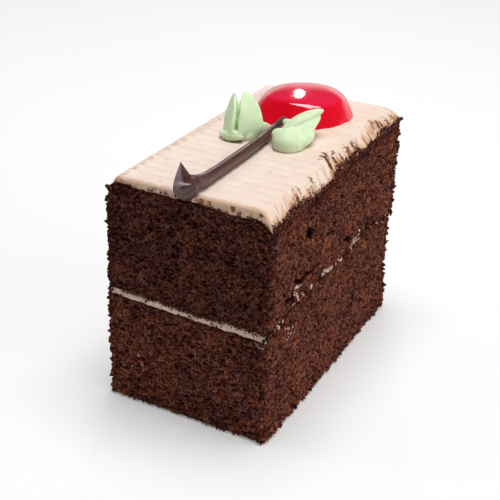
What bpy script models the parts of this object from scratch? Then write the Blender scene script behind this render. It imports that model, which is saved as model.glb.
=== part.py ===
"""A cut slice of chocolate cake, for Blender 4.5. Metres, +Z up.

Two sponge layers hold a cream filling and carry a combed coffee frosting. On the frosting lie a puddle of
set red jelly, two piped cream leaves and a piped chocolate stalk that ends in a drop and a pulled peak over
the slice's front edge.

The origin is the centre of the base. +X points to the slice's right cut face, and +Y along the slice, away
from the end where the stalk hangs over.
"""

import math
from dataclasses import dataclass

import bmesh
import bpy
from mathutils import Matrix, Vector

MM = 0.001
CLEARANCE = 0.3 * MM

# The slice
HALF_WIDTH = 24 * MM
HALF_LENGTH = 43.2 * MM
FILLING_HEIGHT = 29.8 * MM
FILLING_THICKNESS = 2.1 * MM
FROSTING_UNDERSIDE = 62.7 * MM
FROSTING_TOP = 65.0 * MM
LAYER_OVERHANG = 1.1 * MM
CUT_WAVE = 0.2 * MM
CUT_WAVE_LENGTH = 29 * MM

# The foot, which spreads most at the near right corner
FLARE_HEIGHT = 34 * MM
FLARE_RIGHT = 0.8 * MM
FLARE_FRONT = 1.5 * MM

# The long top edges, pulled down by the knife; the frosting stops short of the left one
SHOULDER_WIDTH_FRONT = 3.8 * MM
SHOULDER_WIDTH_BACK = 5.0 * MM
SHOULDER_DROP_FRONT = 4.0 * MM
SHOULDER_DROP_BACK = 1.3 * MM
SHOULDER_DROP_LEFT = 2.3 * MM
THINNED_EDGE = 0.7 * MM
FROSTING_SETBACK = 2.6 * MM
ROUNDED_EDGE = 1.0 * MM

# The comb's ridges, which run across the slice
RIDGE_PITCH = 4 * MM
RIDGE_HEIGHT = 0.35 * MM
STEPS_PER_RIDGE = 4

# Jelly
TOPPING_FLOOR = FROSTING_TOP + RIDGE_HEIGHT + CLEARANCE
JELLY_CENTRE = Vector((-0.2 * MM, 25.2 * MM, TOPPING_FLOOR))
JELLY_RADIUS = Vector((14.4 * MM, 15.5 * MM))
JELLY_HEIGHT = 5.9 * MM

# Stalk: the line's points (x, y and rise over the toppings' floor) with their radii, in millimetres
STALK_LINE = (
    (0.9, -42.2, 1.9, 2.1),
    (1.3, -40.0, 1.6, 1.8),
    (1.5, -37.5, 1.5, 1.6),
    (1.6, -30.0, 1.5, 1.55),
    (1.6, -17.0, 1.5, 1.55),
    (1.4, -8.0, 1.5, 1.5),
    (1.1, -2.0, 1.6, 1.4),
    (0.9, 4.0, 1.9, 1.2),
    (1.2, 9.6, 2.9, 1.1),
)


@dataclass(frozen=True)
class Lobe:
    """A blade or blob of piped cream or chocolate, drawn from one end to the other. All in millimetres.

    reach is the half width where it is fullest: half way along for a fullness of 1, and nearer the start for
    less. Ends grow more pointed with taper. flatness is the thickness over the width, side the direction
    that the width lies in, and bow how far the middle stands off the straight line.
    """

    start: tuple
    end: tuple
    reach: float
    fullness: float = 1.0
    taper: float = 0.7
    flatness: float = 1.0
    side: tuple = (1.0, 0.0, 0.0)
    bow: tuple = (0.0, 0.0, 0.0)

    def mesh(self, name):
        """A sphere whose rings are spread along the lobe and sized by its outline."""
        start, end, bow = Vector(self.start), Vector(self.end), Vector(self.bow)
        axis = (end - start).normalized()
        side = (Vector(self.side) - axis * axis.dot(Vector(self.side))).normalized()
        depth = axis.cross(side) * self.flatness
        shape = bmesh.new()
        bmesh.ops.create_uvsphere(shape, u_segments=12, v_segments=10, radius=1.0)
        for vert in shape.verts:
            share = min(1.0, max(0.0, (vert.co.z + 1) / 2))
            half = self.reach * max(0.0, math.sin(math.pi * share**self.fullness)) ** self.taper
            turn = vert.co.xy.normalized() if half > 0 else vert.co.xy
            spine = start.lerp(end, share) + bow * 4 * share * (1 - share)
            vert.co = (spine + (side * turn.x + depth * turn.y) * half) * MM
        return mesh_of(name, shape)


# Left leaf: its thick root, the left and right wings that stand up from the crease between them, the right
# wing's foot along the stalk, and the roll that the nozzle left in front
LEFT_LEAF = (
    Lobe((-6.6, -6.6, 66.0), (-6.6, 7.0, 67.8), 3.6, flatness=0.9),
    Lobe((-6.0, -5.6, 65.8), (-10.8, 1.5, 76.0), 2.5, 0.9, flatness=0.6, side=(2, -1, 0), bow=(-0.4, 0, 0)),
    Lobe((-4.3, -4.0, 65.8), (-8.5, 3.2, 76.4), 4.0, 0.9, flatness=0.4, side=(1, 1.7, 0), bow=(1.3, 0.9, 0)),
    Lobe((-4.0, -4.6, 66.4), (-3.8, 8.6, 66.8), 2.4),
    Lobe((-10.2, -6.3, 66.9), (-2.6, -4.6, 67.0), 1.6, taper=0.5),
)

# Right leaf: its round root, the lip beside the stalk, the wing drawn out to the tip, and the right margin
RIGHT_LEAF = (
    Lobe((8.4, -6.9, 67.0), (9.4, 8.4, 67.2), 4.5, 0.85, flatness=0.75),
    Lobe((3.2, 0.9, 69.4), (9.6, -5.8, 66.4), 2.4, taper=0.55, flatness=0.8),
    Lobe((4.2, -0.6, 67.0), (11.5, 12.4, 72.1), 3.3, 0.8, flatness=0.5, side=(3, -2, 1), bow=(-0.3, 0, 0)),
    Lobe((11.6, -4.6, 66.8), (10.9, 10.4, 70.6), 1.5, 0.85, bow=(0.4, 0.0, -0.2)),
)

# The drop and the peak pulled up out of it
STALK_END = Lobe((0.7, -43.4, 63.4), (-1.8, -42.9, 73.0), 3.3, 0.56, taper=1.05, flatness=0.8)



def clear_scene():
    """Removes every object, so that the model starts from an empty scene."""
    for obj in list(bpy.data.objects):
        bpy.data.objects.remove(obj, do_unlink=True)


def collection(name):
    """A new collection in the scene."""
    made = bpy.data.collections.new(name)
    bpy.context.scene.collection.children.link(made)
    return made


def material(name, colour, roughness):
    """A Principled BSDF with a colour and a roughness; food has no metal."""
    made = bpy.data.materials.new(name)
    made.use_nodes = True
    shader = made.node_tree.nodes["Principled BSDF"]
    shader.inputs["Base Color"].default_value = (*colour, 1.0)
    shader.inputs["Roughness"].default_value = roughness
    shader.inputs["Metallic"].default_value = 0.0
    made.diffuse_color = (*colour, 1.0)
    return made


def mesh_of(name, shape):
    """The smooth-shaded mesh of a finished bmesh, sharp where its faces turn by over 35 degrees."""
    bmesh.ops.recalc_face_normals(shape, faces=shape.faces)
    mesh = bpy.data.meshes.new(name)
    shape.to_mesh(mesh)
    shape.free()
    mesh.shade_smooth()
    mesh.set_sharp_from_angle(angle=math.radians(35))
    return mesh


def add_object(name, data, finish, group):
    """Puts a mesh or curve in the scene as the named object, in its material and collection."""
    made = bpy.data.objects.new(name, data)
    if finish:
        made.data.materials.append(finish)
    group.objects.link(made)
    return made


def smooth(value):
    """Eases from 0 to 1 as value goes from 0 to 1."""
    value = min(1.0, max(0.0, value))
    return value * value * (3 - 2 * value)


# The layers' surfaces: each gives a height over a point of the base.


def base(x, y):
    """The flat face that the slice stands on."""
    return 0.0


def filling_floor(x, y):
    """The lower sponge's top: lowest at the near right corner, and domed along the right side."""
    across, along = x / HALF_WIDTH, y / HALF_LENGTH
    tilt = -1.5 * MM * across * (1 - along) / 2
    dome = 3.0 * MM * smooth((across + 1) / 2) * (1 - along * along)
    return FILLING_HEIGHT + tilt + dome


def filling_ceiling(x, y):
    """The filling's top: the filling thickens to the near right corner, and swells and thins a little."""
    across, along = x / HALF_WIDTH, y / HALF_LENGTH
    swell = 0.25 * MM * math.sin(5.1 * across + 2.3 * along)
    return filling_floor(x, y) + FILLING_THICKNESS + 0.4 * MM * across * (1 - along) / 2 + swell


def shoulder_reach(x, y):
    """How far into the right shoulder a point lies: 0 where it begins, and 1 at the slice's side."""
    along = smooth((y / HALF_LENGTH + 1) / 2)
    width = SHOULDER_WIDTH_FRONT + (SHOULDER_WIDTH_BACK - SHOULDER_WIDTH_FRONT) * along
    return max(0.0, 1 - (HALF_WIDTH - x) / width)


def shoulder(x, y):
    """How far the top is pulled down at a point of the right shoulder."""
    along = smooth((y / HALF_LENGTH + 1) / 2)
    drop = SHOULDER_DROP_FRONT + (SHOULDER_DROP_BACK - SHOULDER_DROP_FRONT) * along
    return drop * shoulder_reach(x, y) ** 1.5


def frosting_floor(x, y):
    """The upper sponge's top, which falls a little to the right and rounds off along both long edges."""
    level = FROSTING_UNDERSIDE - 0.03 * x
    left = max(0.0, 1 - (HALF_WIDTH + x) / (1.4 * FROSTING_SETBACK))
    thinned = (FROSTING_TOP - FROSTING_UNDERSIDE - THINNED_EDGE) * smooth(shoulder_reach(x, y))
    return level - SHOULDER_DROP_LEFT * left**1.5 - shoulder(x, y) + thinned


def frosting_top(x, y):
    """The combed top: even ridges across the slice, which run out on the right shoulder."""
    left = max(0.0, 1 - (HALF_WIDTH - FROSTING_SETBACK + x) / (2.5 * ROUNDED_EDGE))
    ridge = RIDGE_HEIGHT * (0.5 - 0.5 * math.cos(2 * math.pi * (y + HALF_LENGTH) / RIDGE_PITCH))
    fade = 1 - smooth(shoulder_reach(x, y))
    return FROSTING_TOP + ridge * fade - shoulder(x, y) - ROUNDED_EDGE * left**2


def cut_wave(along, height, phase):
    """How far a knife-cut face falls back from flat at a point of it."""
    turn = 2 * math.pi / CUT_WAVE_LENGTH
    ripple = math.sin(turn * along + phase) + 0.7 * math.sin(1.4 * turn * height + 2 * phase)
    return CUT_WAVE * (ripple / 1.7 - 1)


def slab(name, cuts, surfaces, setback, inset, finish, group):
    """A layer of the slice.

    A cube is divided by cuts along each axis, and its points are spread over the base and then between the
    two surfaces. The left side stands back by setback, and the right side by up to inset above the foot.
    """
    shape = bmesh.new()
    bmesh.ops.create_cube(shape, size=2.0)
    for axis, count in enumerate(cuts):
        spanning = [e for e in shape.edges if abs((e.verts[0].co - e.verts[1].co)[axis]) > 1]
        bmesh.ops.subdivide_edges(shape, edges=spanning, cuts=count - 1, use_grid_fill=True)
    underside, topside = surfaces
    for vert in shape.verts:
        u, v, w = vert.co
        share = (w + 1) / 2
        x = setback / 2 + (HALF_WIDTH - setback / 2) * math.sin(u * math.pi / 2)
        y = HALF_LENGTH * v
        z = underside(x, y) * (1 - share) + topside(x, y) * share
        foot = smooth(1 - z / FLARE_HEIGHT)
        x += u * cut_wave(y, z, 1.0 + u) * abs(u) ** 3
        y += v * cut_wave(x, z, 3.0 + v) * abs(v) ** 9
        x += max(0.0, u) ** 3 * (FLARE_RIGHT * foot * (1 - v) / 2 - inset * smooth(z / FLARE_HEIGHT * 2))
        y -= max(0.0, -v) ** 9 * FLARE_FRONT * foot * (1 + u) / 2
        vert.co = (x, y, z)
    return add_object(name, mesh_of(name, shape), finish, group)


def build_layers(finishes, group):
    """The two sponges, the filling between them and the frosting."""

    def raised(surface, gap=CLEARANCE):
        return lambda x, y: surface(x, y) + gap

    sponge_cuts = (8, 12, 5)
    lower = (base, filling_floor)
    slab("sponge_lower", sponge_cuts, lower, 0.0, LAYER_OVERHANG, finishes["sponge"], group)
    filling = (raised(filling_floor), filling_ceiling)
    slab("cream_filling", (8, 14, 1), filling, 0.0, LAYER_OVERHANG, finishes["filling"], group)
    upper = (raised(filling_ceiling), raised(frosting_floor, -CLEARANCE))
    slab("sponge_upper", sponge_cuts, upper, 0.0, 0.0, finishes["sponge"], group)
    ridge_steps = round(2 * HALF_LENGTH / RIDGE_PITCH * STEPS_PER_RIDGE)
    frosting = (frosting_floor, frosting_top)
    slab("frosting", (8, ridge_steps, 1), frosting, FROSTING_SETBACK, 0.0, finishes["frosting"], group)


def build_jelly(finish, group):
    """The puddle of set jelly: a turned profile with a full top and a steep rounded rim, then made oval."""
    steps = 9
    rim = [math.sin(math.pi / 2 * i / steps) for i in range(steps + 1)]
    profile = [(r, JELLY_HEIGHT * (1 - r**3.0) ** 0.55) for r in rim] + [(0.0, 0.0)]
    mesh = bpy.data.meshes.new("jelly")
    mesh.from_pydata([(r, 0.0, z) for r, z in profile], [(i, i + 1) for i in range(len(profile) - 1)], [])
    made = add_object("jelly", mesh, finish, group)
    made.location = JELLY_CENTRE
    made.scale = (JELLY_RADIUS.x, JELLY_RADIUS.y, 1.0)
    turn = made.modifiers.new("turn", "SCREW")
    turn.steps = turn.render_steps = 44
    turn.use_merge_vertices = True
    turn.merge_threshold = 0.0001
    turn.use_smooth_shade = True
    return made


def combine(made, others, operation, cutters):
    """Adds each named mesh to an object, or takes it away, with the mesh kept as a hidden helper."""
    for mesh in others:
        helper = add_object(mesh.name, mesh, None, cutters)
        helper.hide_render = True
        helper.display_type = "WIRE"
        join = made.modifiers.new(mesh.name, "BOOLEAN")
        join.operation = operation
        join.object = helper
    return made


def block(name, low, high):
    """The mesh of a box between two corners."""
    shape = bmesh.new()
    place = Matrix.Translation((low + high) / 2) @ Matrix.Diagonal((*(high - low), 1.0))
    bmesh.ops.create_cube(shape, size=1.0, matrix=place)
    return mesh_of(name, shape)


def build_leaf(name, lobes, finish, group, cutters):
    """A piped leaf: its lobes run together, and its foot flat on the toppings' floor."""
    made = add_object(name, lobes[0].mesh(name), finish, group)
    others = [lobe.mesh(f"{name}_lobe_{i}") for i, lobe in enumerate(lobes[1:], 2)]
    combine(made, others, "UNION", cutters)
    low = Vector((-HALF_WIDTH, -HALF_LENGTH, TOPPING_FLOOR - 10 * MM))
    under = block(f"{name}_under", low, Vector((HALF_WIDTH, HALF_LENGTH, TOPPING_FLOOR)))
    return combine(made, [under], "DIFFERENCE", cutters)


def stalk_line(group):
    """The piped line lying on the ridges, thick at the drop and drawn thin on to the jelly's rim."""
    curve = bpy.data.curves.new("stalk_line", "CURVE")
    curve.dimensions = "3D"
    curve.bevel_depth = MM
    curve.bevel_resolution = 3
    curve.use_fill_caps = True
    line = curve.splines.new("POLY")
    line.points.add(len(STALK_LINE) - 1)
    for point, (x, y, rise, radius) in zip(line.points, STALK_LINE):
        point.co = (x * MM, y * MM, TOPPING_FLOOR + rise * MM, 1.0)
        point.radius = radius
    made = add_object("stalk_line", curve, None, group)
    bpy.context.view_layer.update()
    shape = bmesh.new()
    shape.from_mesh(made.evaluated_get(bpy.context.evaluated_depsgraph_get()).to_mesh())
    bmesh.ops.remove_doubles(shape, verts=shape.verts, dist=0.01 * MM)
    bpy.data.objects.remove(made, do_unlink=True)
    return mesh_of("stalk", shape)


def build_stalk(finish, group, cutters):
    """The stalk, with a drop and a pulled peak at its front end, clear of the slice that it hangs over."""
    made = add_object("stalk", stalk_line(group), finish, group)
    combine(made, [STALK_END.mesh("stalk_drop")], "UNION", cutters)
    front = -HALF_LENGTH - CLEARANCE
    low = Vector((-HALF_WIDTH, front, TOPPING_FLOOR - 10 * MM))
    corner = block("slice_corner", low, Vector((HALF_WIDTH, HALF_LENGTH, TOPPING_FLOOR)))
    return combine(made, [corner], "DIFFERENCE", cutters)


def main():
    """Builds the slice from the base up, and then what lies on it."""
    clear_scene()
    group = collection("chocolate_cake_slice")
    cutters = collection("cutters")
    finishes = {
        "sponge": material("chocolate_sponge", (0.085, 0.030, 0.020), 0.95),
        "filling": material("cream_filling", (0.50, 0.33, 0.24), 0.6),
        "frosting": material("coffee_frosting", (0.82, 0.64, 0.53), 0.55),
        "jelly": material("red_jelly", (0.72, 0.006, 0.02), 0.06),
        "leaf": material("green_cream", (0.50, 0.70, 0.38), 0.5),
        "chocolate": material("piped_chocolate", (0.075, 0.035, 0.028), 0.3),
    }
    build_layers(finishes, group)
    build_jelly(finishes["jelly"], group)
    build_stalk(finishes["chocolate"], group, cutters)
    build_leaf("leaf_left", LEFT_LEAF, finishes["leaf"], group, cutters)
    build_leaf("leaf_right", RIGHT_LEAF, finishes["leaf"], group, cutters)


main()
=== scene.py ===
"""A cut slice of chocolate layer cake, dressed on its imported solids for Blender 4.5.

The crumb of both sponge layers, the cream between them, the combed frosting, the set jelly, the piped leaves
and the piped stalk are surfaces worked out with numpy. Shapes are in millimetres, +Z up, with the origin at
the centre of the base, and turned into metres when their mesh is made.
"""

from __future__ import annotations

import logging
import math
from dataclasses import dataclass, field, replace
from enum import Enum
from functools import partial
from typing import Callable, Sequence

import bpy
import numpy as np
from mathutils import Matrix, Vector


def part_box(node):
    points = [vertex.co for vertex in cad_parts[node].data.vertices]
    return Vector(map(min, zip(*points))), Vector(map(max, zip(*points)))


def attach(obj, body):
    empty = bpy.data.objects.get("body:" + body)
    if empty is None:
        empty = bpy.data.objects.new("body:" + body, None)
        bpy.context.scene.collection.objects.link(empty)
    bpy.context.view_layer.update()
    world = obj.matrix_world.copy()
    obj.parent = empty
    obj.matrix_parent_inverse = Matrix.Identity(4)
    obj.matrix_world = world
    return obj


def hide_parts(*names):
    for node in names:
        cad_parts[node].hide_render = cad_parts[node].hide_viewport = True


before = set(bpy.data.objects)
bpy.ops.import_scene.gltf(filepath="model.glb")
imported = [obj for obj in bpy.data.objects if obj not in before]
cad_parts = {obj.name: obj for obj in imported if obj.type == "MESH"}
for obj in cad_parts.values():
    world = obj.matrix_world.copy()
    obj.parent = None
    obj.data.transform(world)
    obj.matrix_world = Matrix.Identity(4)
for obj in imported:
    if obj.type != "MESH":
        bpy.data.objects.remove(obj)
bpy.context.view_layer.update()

MM = 0.001
BODY = "root"
Array = np.ndarray
Pair = tuple[float, float]
Points = tuple[Pair, ...]
Place = tuple[float, float, float]
Colour = tuple[float, float, float]
Socket = bpy.types.NodeSocket
Material = bpy.types.Material
log = logging.getLogger("cake_slice")


def node_box(*nodes: str) -> tuple[Array, Array]:
    """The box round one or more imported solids.

    Args:
        nodes: names of the solids.

    Returns:
        The lowest and the highest corner, in millimetres.
    """
    boxes = [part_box(node) for node in nodes]
    low = np.min([np.array(box[0]) for box in boxes], axis=0)
    high = np.max([np.array(box[1]) for box in boxes], axis=0)
    return low / MM, high / MM


# Patterns in space


def hashed(cell: Array, seed: int) -> Array:
    """An even random number for each cell of a lattice.

    The three whole coordinates are multiplied by large primes, combined with the seed and scrambled.

    Args:
        cell: whole coordinates, with a last axis of 3.
        seed: picks one of many such fields.

    Returns:
        Numbers from 0 to 1, one for each cell.
    """
    whole = cell.astype(np.int64).astype(np.uint64)
    mask = np.uint64(0xFFFFFFFF)
    key = whole[..., 0] * np.uint64(73856093) ^ whole[..., 1] * np.uint64(19349663)
    key = (key ^ whole[..., 2] * np.uint64(83492791) ^ np.uint64(seed * 2654435761 % 2**32)) & mask
    key = ((key ^ (key >> np.uint64(15))) * np.uint64(0x2C1B3C6D)) & mask
    key = ((key ^ (key >> np.uint64(12))) * np.uint64(0x297A2D39)) & mask
    return (key ^ (key >> np.uint64(15))).astype(float) / 2**32


def eased(value: Array) -> Array:
    """Clips to 0..1 and eases in and out: 3 v squared less 2 v cubed."""
    value = np.clip(value, 0.0, 1.0)
    return value * value * (3 - 2 * value)


def ripple(points: Array, size: float, seed: int, octaves: int = 1) -> Array:
    """Smooth noise in space.

    Random values sit at the corners of cells and are blended inside a cell by eased weights. Each further
    octave has half the cell and half the height.

    Args:
        points: places, with a last axis of 3.
        size: the first octave's cell.
        seed: picks the field.
        octaves: how many scales are added up.

    Returns:
        Values from about -1 to 1.
    """
    total, height, full = np.zeros(points.shape[:-1]), 1.0, 0.0
    for octave in range(octaves):
        place = points / size * 2**octave
        base = np.floor(place)
        weight = eased(place - base)
        value = np.zeros_like(total)
        for corner in np.ndindex(2, 2, 2):
            share = np.prod(np.where(corner, weight, 1 - weight), axis=-1)
            value += share * hashed(base + corner, seed + 17 * octave)
        total += height * (2 * value - 1)
        full += height
        height /= 2
    return total / full


def scattered_dots(points: Array, size: float, seed: int) -> tuple[Array, Array, Array]:
    """How near each place is to a spread of random dots, one in each cell of a lattice.

    Args:
        points: places, with a last axis of 3.
        size: the lattice's cell.
        seed: picks the field.

    Returns:
        The distances to the nearest and the second nearest dot over the cell's size, and the nearest dot's
        own random number.
    """
    place = points / size
    base = np.floor(place)
    nearest = np.full(points.shape[:-1], 9.0)
    second = nearest.copy()
    number = np.zeros_like(nearest)
    for step in np.ndindex(3, 3, 3):
        cell = base + np.array(step) - 1
        dot = cell + np.stack([hashed(cell, seed + k) for k in range(3)], axis=-1)
        distance = np.sqrt(np.sum((dot - place) ** 2, axis=-1))
        closer = distance < nearest
        second = np.where(closer, nearest, np.minimum(second, distance))
        number = np.where(closer, hashed(cell, seed + 3), number)
        nearest = np.where(closer, distance, nearest)
    return nearest, second, number


def open_cells(points: Array, size: float, seed: int) -> Array:
    """Pits between thin walls, as in a baked foam.

    Space is split among random dots. A cell's floor falls away from its walls by the eased difference between
    the distances to the two nearest dots, to a depth that follows the square of the cell's random number.

    Args:
        points: places, with a last axis of 3.
        size: the cells' width.
        seed: picks the pattern.

    Returns:
        The depth, from 0 on the walls to 1 in the deepest cells.
    """
    nearest, second, number = scattered_dots(points, size, seed)
    return eased((second - nearest - 0.04) / 0.5) * (0.15 + 0.85 * number**2)


@dataclass(frozen=True)
class Stroke:
    """A tapered stroke on a flat face: its two ends, its half width at each, and how strong it is."""

    start: Pair
    end: Pair
    widths: Pair = (0.25, 0.25)
    strength: float = 1.0

    def cover(self, u: Array, v: Array) -> Array:
        """How strongly the stroke covers places: its strength on its line, eased to 0 at its ragged margins.

        Args:
            u: the places' first coordinate.
            v: the places' second coordinate.

        Returns:
            The cover, from 0 to the strength.
        """
        run, climb = self.end[0] - self.start[0], self.end[1] - self.start[1]
        length = run * run + climb * climb + 1e-9
        spot = np.stack([u + 0 * v, v + 0 * u, 0 * u + 0 * v], axis=-1)
        u, v = u + 0.16 * ripple(spot, 0.7, 71, 2), v + 0.16 * ripple(spot, 0.7, 72, 2)
        share = np.clip(((u - self.start[0]) * run + (v - self.start[1]) * climb) / length, 0, 1)
        away = np.hypot(u - self.start[0] - share * run, v - self.start[1] - share * climb)
        width = self.widths[0] + (self.widths[1] - self.widths[0]) * share
        return self.strength * eased(1.6 * (1 - away / width))


def strokes(*rows: tuple[float, ...]) -> tuple[Stroke, ...]:
    """Strokes from rows of numbers: both ends, the half width at each, and the strength unless it is 1."""
    return tuple(Stroke((a, b), (c, d), (e, f), *strength) for a, b, c, d, e, f, *strength in rows)


def covered(marks: Sequence[Stroke], u: Array, v: Array) -> Array:
    """The strongest cover of any stroke at each place."""
    return np.max([mark.cover(u, v) for mark in marks], axis=0)


# Meshes


@dataclass
class Shell:
    """A growing mesh: vertices, faces and named values at the vertices."""

    places: list[Array] = field(default_factory=list)
    faces: list[Array] = field(default_factory=list)
    values: dict[str, list[Array]] = field(default_factory=dict)
    count: int = 0

    def add(self, places: Array, **values: Array) -> Array:
        """Adds vertices.

        Args:
            places: their places, with a last axis of 3.
            values: named numbers for each, in the places' own arrangement.

        Returns:
            Their numbers in the mesh, arranged as the places are.
        """
        flat = places.reshape(-1, 3)
        self.places.append(flat)
        for name, value in values.items():
            self.values.setdefault(name, []).append(np.broadcast_to(value, places.shape[:-1]).reshape(-1))
        numbers = np.arange(self.count, self.count + len(flat)).reshape(places.shape[:-1])
        self.count += len(flat)
        return numbers

    def grid(self, numbers: Array, around: bool = False) -> None:
        """Fills a grid of vertices with quads.

        Args:
            numbers: vertex numbers in rows and columns.
            around: whether the last column joins the first.
        """
        if around:
            numbers = np.concatenate([numbers, numbers[:, :1]], axis=1)
        quads = [numbers[:-1, :-1], numbers[:-1, 1:], numbers[1:, 1:], numbers[1:, :-1]]
        self.faces.append(np.stack(quads, axis=-1).reshape(-1, 4))

    def fan(self, rim: Array, hub: int) -> None:
        """Closes a ring of vertices with triangles to one vertex, in the ring's order."""
        hubs = np.full(len(rim), hub)
        self.faces.append(np.stack([rim, np.roll(rim, -1), hubs], axis=-1))

    def sleeve(self, numbers: Array, ends: Array, **values: Array) -> None:
        """Joins rings of vertices with quads, and closes the first and the last ring to a point each.

        Args:
            numbers: vertex numbers by ring and by angle, anticlockwise seen from the last ring.
            ends: the places of the two points.
            values: named numbers for both.
        """
        self.grid(numbers, around=True)
        first, last = self.add(ends, **values)
        self.fan(numbers[0][::-1], int(first))
        self.fan(numbers[-1], int(last))

    def tube(self, rings: Array) -> None:
        """Adds rings that follow each other along a path, as a closed skin with a point at both ends."""
        self.sleeve(self.add(rings), np.stack([rings[0].mean(axis=0), rings[-1].mean(axis=0)]))

    def mesh(self, name: str) -> bpy.types.Mesh:
        """The finished mesh in metres, smooth shaded, with the named values as point attributes.

        Args:
            name: the name of its data block.

        Returns:
            The mesh.
        """
        made = bpy.data.meshes.new(name)
        places = np.concatenate(self.places) * MM
        sizes = np.concatenate([np.full(len(block), block.shape[1]) for block in self.faces])
        corners = np.concatenate([block.reshape(-1) for block in self.faces])
        made.vertices.add(len(places))
        made.vertices.foreach_set("co", places.astype(np.float32).reshape(-1))
        made.loops.add(len(corners))
        made.loops.foreach_set("vertex_index", corners.astype(np.int32))
        made.polygons.add(len(sizes))
        starts = np.concatenate([[0], np.cumsum(sizes)[:-1]])
        made.polygons.foreach_set("loop_start", starts.astype(np.int32))
        made.update(calc_edges=True)
        made.validate()
        for key, blocks in self.values.items():
            layer = made.attributes.new(key, "FLOAT", "POINT")
            layer.data.foreach_set("value", np.concatenate(blocks).astype(np.float32))
        made.shade_smooth()
        return made


def place_piece(
    name: str, mesh: bpy.types.Mesh, finish: Material, replaced: Sequence[str] = ()
) -> bpy.types.Object:
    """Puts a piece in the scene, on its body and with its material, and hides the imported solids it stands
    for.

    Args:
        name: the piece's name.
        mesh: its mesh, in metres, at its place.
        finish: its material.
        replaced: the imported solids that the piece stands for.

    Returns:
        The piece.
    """
    piece = bpy.data.objects.new(name, mesh)
    mesh.materials.clear()
    mesh.materials.append(finish)
    bpy.context.scene.collection.objects.link(piece)
    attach(piece, BODY)
    if replaced:
        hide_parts(*replaced)
    log.info("%s: %d vertices, %d faces", name, len(mesh.vertices), len(mesh.polygons))
    return piece


def fused(mesh: bpy.types.Mesh, voxel: float, rounds: int) -> bpy.types.Mesh:
    """One skin round the overlapping shells of a mesh, with the steps of its voxels smoothed away.

    Args:
        mesh: closed shells that overlap.
        voxel: the size of the skin's cells in millimetres.
        rounds: how many times each point moves half way to its neighbours' mean.

    Returns:
        The skin's mesh.
    """
    body = bpy.data.objects.new(mesh.name, mesh)
    bpy.context.scene.collection.objects.link(body)
    remesh = body.modifiers.new("fuse", "REMESH")
    remesh.mode = "VOXEL"
    remesh.voxel_size = voxel * MM
    soften = body.modifiers.new("soften", "SMOOTH")
    soften.factor = 0.5
    soften.iterations = rounds
    bpy.context.view_layer.update()
    skin = bpy.data.meshes.new_from_object(body.evaluated_get(bpy.context.evaluated_depsgraph_get()))
    bpy.data.objects.remove(body, do_unlink=True)
    skin.shade_smooth()
    return skin


# Finishes


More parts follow.
